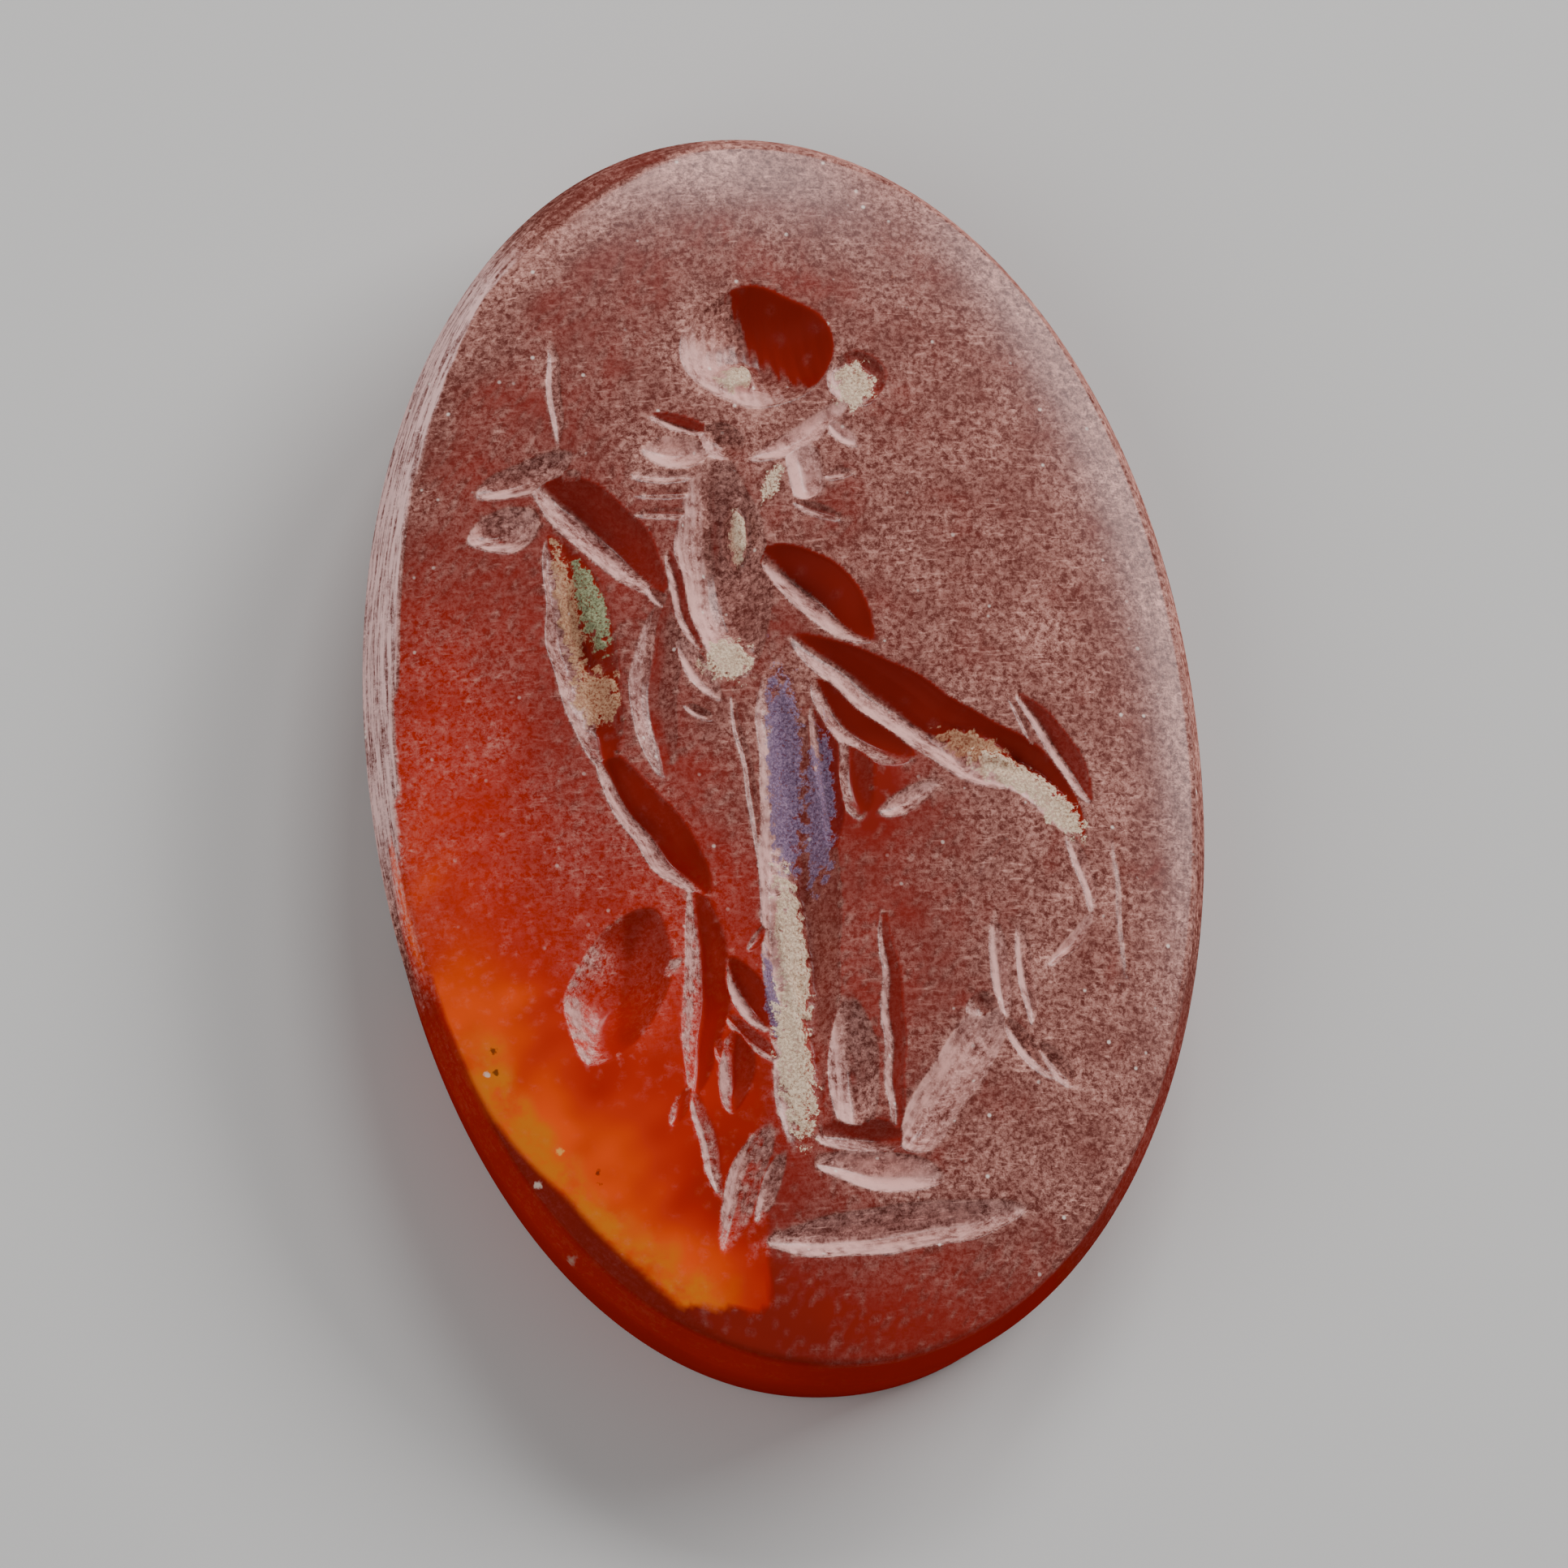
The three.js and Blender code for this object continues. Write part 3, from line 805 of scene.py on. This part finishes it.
def glow_on_face(xy):
    """The orange zone, and the yellow band along its outer edge."""
    glow = np.zeros(len(xy))
    for place, half_across, half_up, turn, amount in GLOW_SPOTS:
        glow += (amount * soft_spot(xy, place, half_across, half_up, turn)) ** 3
    glow = glow ** (1 / 3) * (1 + 0.13 * hills(xy, 0.9 * MM, 81) + 0.06 * hills(xy, 0.4 * MM, 84))
    inside = rise(-side_of(xy, CRACK_END), -0.02 * MM, 0.05 * MM)
    past_edge = np.where(angle_around(xy) > 200, over_strip(xy), -1)
    face_only = 1 - rise(past_edge, -0.006, 0.012)
    ragged = 0.03 * MM * hills(xy, 0.35 * MM, 82)
    above = rise(side_of(xy, CRACK_FOOT) + ragged, -0.01 * MM, 0.05 * MM)
    low = rise(-xy[:, 1], 3.0 * MM, 5.2 * MM)
    glow *= 1 - low + low * inside * above
    share = oval_share(xy, FACE)
    angle = angle_around(xy)
    stretch = rise(angle, 205, 213) * rise(-angle, -256, -247)
    yellow = rise(share + 0.012 * hills(xy, 0.4 * MM, 83), 0.89, 0.945) * stretch * inside * above
    return np.clip(glow * face_only, 0, 1), np.clip(yellow * face_only, 0, 1)


def left_band_highlight(angle):
    """1 along the left side of the stone, where the bevel has its painted highlight."""
    return rise(angle, 118, 132) * rise(-angle, -198, -184)


print("the glow has", len(GLOW_SPOTS), "soft spots")

# %% [markdown]
# ## Numbers kept on the points
#
# The material can't ask for a cut or a patch, so every mask is worked out here, once, and
# stored as one number per point: on the face with its own values, and on the bevel, the
# wall and the back with simpler ones. The same way keeps how far out and how far around
# a point lies, for the lines that run along the edge.

# %% Keep the masks on the points
def keep_on_points(name, face_values, side_values=0.0):
    """Store one number per point of the stone for its material to read."""
    layer = stone.data.attributes.new(name, "FLOAT", "POINT")
    whole = np.zeros(len(stone.data.vertices), dtype=np.float32)
    whole[on_face] = face_values
    whole[~on_face] = side_values
    layer.data.foreach_set("value", whole)
    print(name, "is", whole.mean().round(3), "on average")


on_strip = rise(over_strip(face_xy), 0, 0.004)
worn_through = 1.08 + 0.1 * hills(face_xy, 0.3 * MM, 74)
# painted shade, partly polish: the clean dark red is kept to the walls that face away from the lamp
clean *= rise(-lean, 0.03, 0.2) * np.clip(worn_through, 0, 1)
in_cut = np.clip(bare_depth / CUT_SHOWS_DEPTH, 0, 1)
# painted light: a lilac tint on the walls that face the lamp
lit_wall = 0.5 * rise(lean, 0.15, 0.6)
side_xy, side_height = points[~on_face, :2], points[~on_face, 2]
side_angle = angle_around(side_xy)

# %% Frost, polish, painted light and painted shade
frost_and_painted_light = frost_and_painted_light_on_face(face_xy, bare_depth, lean, streaks, clean, pale)
keep_on_points("frost_and_painted_light", frost_and_painted_light, frost_and_painted_light_on_side(side_xy, side_height))
keep_on_points("clean", clean, 1.0)
# painted highlight: lilac tint along the left band of the strip and the bevel
face_band_highlight = left_band_highlight(angle_around(face_xy)) * on_strip
# pale frost of the cuts, together with the painted light on the lit walls and the left band's painted
# highlight
palest = np.maximum(np.maximum(pale * in_cut, lit_wall), face_band_highlight)
keep_on_points("pale", palest, left_band_highlight(side_angle))
keep_on_points("gloss", (0.55 - 0.25 * clean) * (1 - 0.85 * on_strip), 0.015)

# %% Glow
glow, yellow = glow_on_face(face_xy)
bevel_glow = rise(side_angle, 176, 190) * rise(-side_angle, -204, -196)
bevel_glow *= rise(side_height, GIRDLE_HEIGHT, FACE_EDGE_HEIGHT)
wall_glow = 0.2 * rise(side_angle, 196, 206) * rise(-side_angle, -310, -280)
keep_on_points("glow", glow * (1 - 0.5 * clean), np.maximum(bevel_glow, wall_glow))
keep_on_points("yellow", yellow)

# %% The way along and out over the edge
FACE_RADIUS_IN_MM = 4.3
out_share = oval_share(points[:, :2], FACE)
near_edge = rise(out_share[on_face], 0.8, 0.95) * (0.4 + 0.6 * on_strip)
outward = (out_share[on_face] - 1) * FACE_RADIUS_IN_MM
keep_on_points("outward", outward, (FACE_EDGE_HEIGHT - side_height) / MM)
keep_on_points("around", angle_around(face_xy), side_angle)
keep_on_points("near_edge", near_edge, 1.0)

# %% Crusts
COVER_ON_OPEN_FACE = 0.75
for name, patches in (("cream", CREAM), ("tan", TAN), ("green", GREEN), ("blue", BLUE)):
    keep_on_points(name, covered(patches, face_xy) * np.maximum(in_cut, COVER_ON_OPEN_FACE))
bpy.ops.object.shade_smooth()

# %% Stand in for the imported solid
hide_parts(STONE_NODE)
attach(stone, "root")
print("the finished stone has", len(stone.data.vertices), "points")

# %% [markdown]
# ## Carnelian
#
# Carnelian is a red chalcedony, even and glassy where it is polished. Light goes a little
# way in and comes back red. Fine scratches on the worn face scatter it before it gets in,
# so the face looks dusty pink, and the clean walls of the hollows look dark red. The clean
# walls are kept to the sides that face away from the lamp, so their dark red is partly
# painted shade. All patterns sit on Object coordinates, which are metres here.

# %% Helpers that wire nodes
def add(tree, kind, **values):
    node = tree.nodes.new(kind)
    for name, value in values.items():
        setattr(node, name, value)
    return node


def plug(tree, socket, source):
    """Link a socket to another, or give it a constant."""
    if isinstance(source, bpy.types.NodeSocket):
        tree.links.new(source, socket)
    elif isinstance(source, tuple):
        socket.default_value = (*source, 1.0)
    else:
        socket.default_value = source


def noise(tree, place, size, detail=2.0, rough=0.5, twist=0.0):
    """Noise whose features are about one size across, in metres."""
    node = add(tree, "ShaderNodeTexNoise")
    tree.links.new(place, node.inputs["Vector"])
    node.inputs["Scale"].default_value = 1 / size
    node.inputs["Detail"].default_value = detail
    node.inputs["Roughness"].default_value = rough
    node.inputs["Distortion"].default_value = twist
    return node.outputs["Fac"]


def between(tree, value, low, high, to_low=0.0, to_high=1.0):
    node = add(tree, "ShaderNodeMapRange", interpolation_type="SMOOTHSTEP")
    for name, source in (("Value", value), ("From Min", low), ("From Max", high),
                         ("To Min", to_low), ("To Max", to_high)):
        plug(tree, node.inputs[name], source)
    return node.outputs["Result"]


def math_of(tree, operation, first, second):
    node = add(tree, "ShaderNodeMath", operation=operation)
    plug(tree, node.inputs[0], first)
    plug(tree, node.inputs[1], second)
    return node.outputs[0]


def mix(tree, mask, first, second):
    node = add(tree, "ShaderNodeMix", data_type="RGBA")
    plug(tree, node.inputs["Factor"], mask)
    plug(tree, node.inputs[6], first)
    plug(tree, node.inputs[7], second)
    return node.outputs[2]


def mix_value(tree, mask, first, second):
    node = add(tree, "ShaderNodeMix", data_type="FLOAT")
    plug(tree, node.inputs["Factor"], mask)
    plug(tree, node.inputs[2], first)
    plug(tree, node.inputs[3], second)
    return node.outputs[0]


def new_group(name, inputs, outputs):
    """A node group with named inputs and float outputs, and its two end nodes."""
    group = bpy.data.node_groups.new(name, "ShaderNodeTree")
    for socket, kind in inputs:
        group.interface.new_socket(socket, in_out="INPUT", socket_type="NodeSocket" + kind)
    for socket in outputs:
        group.interface.new_socket(socket, in_out="OUTPUT", socket_type="NodeSocketFloat")
    return group, add(group, "NodeGroupInput"), add(group, "NodeGroupOutput")


# %% [markdown]
# ## The grain of frost
#
# Seen close up, the frost is no even veil but short fibres, clouds and a few long scratches,
# with a tiny sparkle here and there; the sparkles are painted glints, white dots in the
# colour. A node group turns a plain amount of frost into that grain: a little frost stays
# broken up, and a lot of it closes to an even pale tone.

# %% A node group for the grain of frost
FIBRE_SIZE = 0.066 * MM
CLOUD_SIZE = 0.5 * MM
SCRATCH_TURNS = (35, 68, 132)
SCRATCH_SIZE = 0.04 * MM
SCRATCH_SHORTNESS = 0.16
SPARKLE_SPACING = 0.22 * MM
MOST_FROST = 0.95


def frost_grain_group():
    """Turns a place and an amount of frost into a speckled mask and its sparkles."""
    group, given, result = new_group(
        "frost grain", (("Place", "Vector"), ("Amount", "Float")), ("Frost_and_light", "Sparkle"))
    place = given.outputs["Place"]
    fibres = noise(group, place, FIBRE_SIZE, 4.0, 0.85, 0.25)
    clouds = noise(group, place, CLOUD_SIZE, 2.0, 0.5)
    grain = math_of(group, "MULTIPLY", between(group, fibres, 0.34, 0.7, -0.2, 2.3),
                    between(group, clouds, 0.3, 0.7, 0.75, 1.3))
    for turn in SCRATCH_TURNS:
        turned = add(group, "ShaderNodeMapping")
        group.links.new(place, turned.inputs["Vector"])
        turned.inputs["Rotation"].default_value = (0, 0, math.radians(turn))
        turned.inputs["Scale"].default_value = (SCRATCH_SHORTNESS, 1, 1)
        long_noise = noise(group, turned.outputs[0], SCRATCH_SIZE, 1.0, 0.5, 0.4)
        scratch = between(group, long_noise, 0.66, 0.76, 0.0, 1.2)
        grain = math_of(group, "ADD", grain, scratch)
    amount = given.outputs["Amount"]
    evened = mix_value(group, between(group, amount, 0.15, 0.8, 0.0, 0.85), grain, 1.0)
    frost_and_painted_light = math_of(group, "MAXIMUM", math_of(group, "MULTIPLY", amount, evened), 0.0)
    plug(group, result.inputs["Frost_and_light"], math_of(group, "MINIMUM", frost_and_painted_light, MOST_FROST))
    # painted glints: tiny dots that are later mixed white into the colour
    dots = add(group, "ShaderNodeTexVoronoi")
    group.links.new(place, dots.inputs["Vector"])
    dots.inputs["Scale"].default_value = 1 / SPARKLE_SPACING
    dot = between(group, dots.outputs["Distance"], 0.05, 0.13, 1.0, 0.0)
    some = between(group, noise(group, place, 0.28 * MM, 0.0), 0.5, 0.62)
    plug(group, result.inputs["Sparkle"], math_of(group, "MULTIPLY", dot, some))
    return group


FROST_GRAIN = frost_grain_group()
print("the frost's grain takes", len(FROST_GRAIN.nodes), "nodes")

# %% [markdown]
# ## Single specks
#
# A few dark and pale specks sit in the stone along the lower left edge, and one orange one
# near the head. Noise would scatter them anywhere, so each gets a place and a radius in
# millimetres and a colour of its own, all through one group.

# %% A node group for single specks
HEIGHT_COUNTS = 0.15
SPECK_UNEVENNESS = 0.012 * MM


def speck_group():
    """1 inside a ragged round speck whose middle and radius are given in metres.

    Height counts for little, so that a speck also lands on the bevel that its place is on.
    """
    group, given, result = new_group(
        "single speck", (("Place", "Vector"), ("Middle", "Vector"), ("Radius", "Float")), ("Mask",))
    flat = add(group, "ShaderNodeVectorMath", operation="MULTIPLY")
    group.links.new(given.outputs["Place"], flat.inputs[0])
    flat.inputs[1].default_value = (1, 1, HEIGHT_COUNTS)
    gap = add(group, "ShaderNodeVectorMath", operation="DISTANCE")
    group.links.new(flat.outputs[0], gap.inputs[0])
    group.links.new(given.outputs["Middle"], gap.inputs[1])
    lumpy = noise(group, given.outputs["Place"], 0.05 * MM)
    uneven = between(group, lumpy, 0.3, 0.7, -SPECK_UNEVENNESS, SPECK_UNEVENNESS)
    away = math_of(group, "ADD", gap.outputs["Value"], uneven)
    inner = math_of(group, "MULTIPLY", given.outputs["Radius"], 0.5)
    plug(group, result.inputs["Mask"], between(group, away, inner, given.outputs["Radius"], 1.0, 0.0))
    return group


SINGLE_SPECK = speck_group()
SPECKS = [
    (-3.43, -3.11, 0.045, (0.06, 0.012, 0.004)),
    (-3.42, -3.34, 0.04, (0.06, 0.012, 0.004)),
    (-2.48, -4.47, 0.04, (0.08, 0.012, 0.004)),
    (-2.47, -4.60, 0.035, (0.08, 0.012, 0.004)),
    (-3.52, -3.35, 0.04, (0.82, 0.66, 0.55)),
    (-3.08, -4.53, 0.05, (0.82, 0.66, 0.55)),
    (-2.84, -4.22, 0.05, (0.95, 0.5, 0.12)),
    (-2.79, -5.31, 0.09, (0.42, 0.26, 0.2)),
    (1.56, 5.02, 0.04, (0.8, 0.2, 0.04)),
]
print("the stone has", len(SPECKS), "single specks")

# %% [markdown]
# ## The colours, from the inside out
#
# The material is put together the way the stone is: first the red body with its orange and
# yellow, then the frost on it with the painted light and highlights that share its mask,
# then the crusts and the specks on top. Each step takes the colour so far and lays its own
# over it through a mask.

# %% The body of the stone
DEEP_RED = (0.255, 0.008, 0.003)
WARM_RED = (0.50, 0.018, 0.006)
ORANGE = (0.93, 0.085, 0.003)
YELLOW = (0.74, 0.185, 0.010)
DUSTY_RED = (0.135, 0.028, 0.021)


def kept(tree, name):
    """The number that the points keep under a name."""
    return add(tree, "ShaderNodeAttribute", attribute_name=name).outputs["Fac"]


def stone_body(tree, place):
    """Red with clouds in it, orange and yellow where it glows, duller under the frost."""
    depth_tone = noise(tree, place, 1.6 * MM, 3.0)
    body = mix(tree, between(tree, depth_tone, 0.35, 0.7, 0.0, 0.25), DEEP_RED, WARM_RED)
    body = mix(tree, between(tree, kept(tree, "glow"), 0.0, 0.5), body, WARM_RED)
    body = mix(tree, between(tree, kept(tree, "glow"), 0.35, 0.95), body, ORANGE)
    flicker = between(tree, noise(tree, place, 0.3 * MM, 4.0, 0.65), 0.3, 0.62, 0.15, 1.0)
    body = mix(tree, math_of(tree, "MULTIPLY", kept(tree, "yellow"), flicker), body, YELLOW)
    dulled = math_of(tree, "SUBTRACT", kept(tree, "frost_and_painted_light"), kept(tree, "glow"))
    return mix(tree, between(tree, dulled, -0.08, 0.22), body, DUSTY_RED)


# %% The frost on it, with its painted light
PINK_OF_FROST_AND_LIGHT = (0.92, 0.45, 0.375)
LILAC_OF_FROST_AND_HIGHLIGHT = (1.0, 0.63, 0.60)
SPARKLE_WHITE = (1.0, 0.82, 0.74)
AROUND_TO_PATTERN = 0.006


def edge_lines(tree):
    """Fine lines along the edge: noise that is stretched around the stone."""
    unrolled = add(tree, "ShaderNodeCombineXYZ")
    plug(tree, unrolled.inputs["X"], kept(tree, "outward"))
    plug(tree, unrolled.inputs["Y"], math_of(tree, "MULTIPLY", kept(tree, "around"), AROUND_TO_PATTERN))
    lines = between(tree, noise(tree, unrolled.outputs[0], 0.035, 3.0, 0.7), 0.35, 0.65, 0.3, 1.25)
    return mix_value(tree, kept(tree, "near_edge"), 1.0, lines)


def frosted_and_lit(tree, place, body):
    """The body's colour under its frosted and lit skin, with the masks of that skin and of its
    sparkles.
    """
    grain = add(tree, "ShaderNodeGroup", node_tree=FROST_GRAIN)
    tree.links.new(place, grain.inputs["Place"])
    plug(tree, grain.inputs["Amount"], math_of(tree, "MULTIPLY", kept(tree, "frost_and_painted_light"), edge_lines(tree)))
    frost_and_painted_light = grain.outputs["Frost_and_light"]
    # this tint also colours the painted light on the lit walls and the painted highlights of the rim
    # and bevel
    tint_of_frost_and_light = mix(tree, kept(tree, "pale"), PINK_OF_FROST_AND_LIGHT, LILAC_OF_FROST_AND_HIGHLIGHT)
    some = between(tree, kept(tree, "frost_and_painted_light"), 0.0, 0.2)
    sparkle = math_of(tree, "MULTIPLY", grain.outputs["Sparkle"], some)
    return mix(tree, frost_and_painted_light, body, tint_of_frost_and_light), frost_and_painted_light, sparkle


# %% The crusts
CRUSTS = (
    ("blue", (0.03, 0.014, 0.08), (0.42, 0.27, 0.38)),
    ("tan", (0.25, 0.07, 0.03), (0.70, 0.42, 0.26)),
    ("cream", (0.36, 0.2, 0.12), (1.0, 0.77, 0.57)),
    ("green", (0.05, 0.05, 0.02), (0.46, 0.48, 0.28)),
)


def crusted(tree, grit, colour):
    """Each crust in its dark and its pale tone, broken up by the grit towards its edges."""
    covered_all = 0.0
    for name, dark, light in CRUSTS:
        mask = kept(tree, name)
        least = between(tree, mask, 0.0, 1.0, 0.66, 0.33)
        broken = between(tree, grit, least, math_of(tree, "ADD", least, 0.12))
        broken = math_of(tree, "MULTIPLY", broken, between(tree, mask, 0.0, 0.15))
        tone = mix(tree, between(tree, grit, 0.3, 0.7), dark, light)
        colour = mix(tree, broken, colour, tone)
        covered_all = math_of(tree, "MAXIMUM", covered_all, mask)
    return colour, covered_all


# %% The specks
def specked(tree, place, colour):
    for x, y, radius, tint in SPECKS:
        speck = add(tree, "ShaderNodeGroup", node_tree=SINGLE_SPECK)
        tree.links.new(place, speck.inputs["Place"])
        speck.inputs["Middle"].default_value = (x * MM, y * MM, FACE_EDGE_HEIGHT * HEIGHT_COUNTS)
        speck.inputs["Radius"].default_value = radius * MM
        colour = mix(tree, math_of(tree, "MULTIPLY", speck.outputs["Mask"], 0.75), colour, tint)
    return colour


# %% [markdown]
# ## Polish
#
# The body itself reflects nothing, because its frosted skin would turn grey. What polish is
# left lies over it as a thin clear coat, which the crusts and the honed strip lose. A very
# low bump from the same masks gives the frost and the grit a dry look.

# %% The material
def worn_carnelian():
    material = bpy.data.materials.new("worn carnelian")
    material.use_nodes = True
    tree = material.node_tree
    tree.nodes.clear()
    output = add(tree, "ShaderNodeOutputMaterial")
    shader = add(tree, "ShaderNodeBsdfPrincipled")
    tree.links.new(shader.outputs["BSDF"], output.inputs["Surface"])
    place = add(tree, "ShaderNodeTexCoord").outputs["Object"]
    grit = noise(tree, place, 0.03 * MM, 4.0, 0.8)

    colour, frost_and_painted_light, sparkle = frosted_and_lit(tree, place, stone_body(tree, place))
    colour, covered_all = crusted(tree, grit, colour)
    # painted glints: the sparkles are mixed white into the colour
    colour = mix(tree, math_of(tree, "MULTIPLY", sparkle, 0.8), colour, SPARKLE_WHITE)
    tree.links.new(specked(tree, place, colour), shader.inputs["Base Color"])

    roughness = mix_value(tree, kept(tree, "clean"), 0.48, 0.22)
    roughness = mix_value(tree, frost_and_painted_light, roughness, 0.6)
    plug(tree, shader.inputs["Roughness"], mix_value(tree, covered_all, roughness, 0.85))
    bump = add(tree, "ShaderNodeBump")
    bump.inputs["Strength"].default_value = 0.5
    bump.inputs["Distance"].default_value = 0.006 * MM
    height = math_of(tree, "ADD", frost_and_painted_light, math_of(tree, "MULTIPLY", covered_all, grit))
    tree.links.new(height, bump.inputs["Height"])
    tree.links.new(bump.outputs["Normal"], shader.inputs["Normal"])
    shader.inputs["IOR"].default_value = 1.5
    shader.inputs["Specular IOR Level"].default_value = 0.0
    shader.inputs["Coat Roughness"].default_value = 0.24
    left_bare = between(tree, covered_all, 0.0, 1.0, 0.9, 0.1)
    plug(tree, shader.inputs["Coat Weight"], math_of(tree, "MULTIPLY", kept(tree, "gloss"), left_bare))
    print("the material takes", len(tree.nodes), "nodes")
    return material


stone.data.materials.append(worn_carnelian())

# %% [markdown]
# ## Floor, light and camera
#
# The stone lies on a pale matt floor. Two soft lamps stand to the upper right: they light
# the lower left walls of the cuts and leave the upper right walls dark. A broad one at the
# left catches the bevel, and a dim even sky fills the rest. The camera looks down from the
# lower left, from far away with a long lens, so that near and far edges measure alike.

# %% The floor
FLOOR_SIZE = 400 * MM
bpy.ops.object.select_all(action="DESELECT")
bpy.ops.mesh.primitive_plane_add(size=FLOOR_SIZE)
floor = bpy.context.active_object
floor.name = "floor"
floor_material = bpy.data.materials.new("pale floor")
floor_material.use_nodes = True
floor_shader = floor_material.node_tree.nodes["Principled BSDF"]
floor_shader.inputs["Base Color"].default_value = (0.72, 0.71, 0.7, 1.0)
floor_shader.inputs["Roughness"].default_value = 0.9
floor.data.materials.append(floor_material)
floor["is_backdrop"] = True
print("the floor is", round(FLOOR_SIZE / MM), "mm wide")

# %% The camera
VIEW_TILT = math.radians(20)
VIEW_HEADING = math.radians(235)
VIEW_ROLL = math.radians(4.1)
PHOTO_PIXELS = 1932
PIXELS_PER_MM = 119.0
ORIGIN_PIXEL = Vector((934.0, 990.0))
CAMERA_DISTANCE = 600 * MM
SENSOR = 36.0
NEAREST_SEEN = 10 * MM
FARTHEST_SEEN = 10.0

heading = Vector((math.cos(VIEW_HEADING), math.sin(VIEW_HEADING), 0))
across = Vector((-heading.y, heading.x, 0))
toward = heading * math.sin(VIEW_TILT) + Vector((0, 0, math.cos(VIEW_TILT)))
slope = heading * math.cos(VIEW_TILT) - Vector((0, 0, math.sin(VIEW_TILT)))
flat_right = slope * heading.x + across * across.x
flat_up = slope * heading.y + across * across.y
right = flat_right * math.cos(VIEW_ROLL) - flat_up * math.sin(VIEW_ROLL)
up = flat_right * math.sin(VIEW_ROLL) + flat_up * math.cos(VIEW_ROLL)
off_centre = (Vector((PHOTO_PIXELS / 2, PHOTO_PIXELS / 2)) - ORIGIN_PIXEL) / PIXELS_PER_MM * MM
aim = right * off_centre.x - up * off_centre.y
frame_width = PHOTO_PIXELS / PIXELS_PER_MM

bpy.ops.object.camera_add()
camera = bpy.context.active_object
camera.data.sensor_width = SENSOR
camera.data.lens = SENSOR * (CAMERA_DISTANCE / MM) / frame_width
camera.data.clip_start = NEAREST_SEEN
camera.data.clip_end = FARTHEST_SEEN
turn = Matrix((right, up, toward)).transposed()
camera.matrix_world = Matrix.Translation(aim + toward * CAMERA_DISTANCE) @ turn.to_4x4()
bpy.context.scene.camera = camera
print("the lens is", round(camera.data.lens), "mm and the frame is", round(frame_width, 1), "mm wide")


# %% The lamps
def soft_lamp(name, azimuth_deg, elevation_deg, distance, size, power):
    """A lamp at a heading and height around the stone, facing it; size is wide and high."""
    azimuth, elevation = math.radians(azimuth_deg), math.radians(elevation_deg)
    aside = Vector((math.cos(azimuth), math.sin(azimuth), 0)) * math.cos(elevation)
    spot = (aside + Vector((0, 0, math.sin(elevation)))) * distance
    bpy.ops.object.light_add(type="AREA", location=spot)
    lamp = bpy.context.active_object
    lamp.name = name
    lamp.data.shape = "RECTANGLE"
    lamp.data.size, lamp.data.size_y = size
    lamp.data.energy = power
    lamp.visible_camera = False
    lamp.rotation_euler = spot.to_track_quat("Z", "Y").to_euler()
    print("the", name, "stands", round(distance / MM), "mm away with", power, "W")
    return lamp


soft_lamp("key lamp", 32, 33, 160 * MM, (100 * MM, 60 * MM), 0.18)
soft_lamp("top lamp", 76, 44, 170 * MM, (66 * MM, 36 * MM), 0.09)
left_lamp = soft_lamp("left lamp", 200, 40, 260 * MM, (220 * MM, 220 * MM), 0.26)
left_lamp.visible_glossy = False

# %% The even sky
SKY_STRENGTH = 0.18
world = bpy.data.worlds.new("studio")
bpy.context.scene.world = world
world.use_nodes = True
sky = world.node_tree.nodes["Background"]
sky.inputs["Color"].default_value = (1, 1, 1, 1)
sky.inputs["Strength"].default_value = SKY_STRENGTH

# %% [markdown]
# ## The size
#
# The box of the finished stone is printed at the end, to set beside the box of the imported
# solid printed at the start.

# %% Print the size of the finished stone
low_corner, high_corner = (np.array(corner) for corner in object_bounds())
print("the finished stone measures", ((high_corner - low_corner) / MM).round(3), "mm")
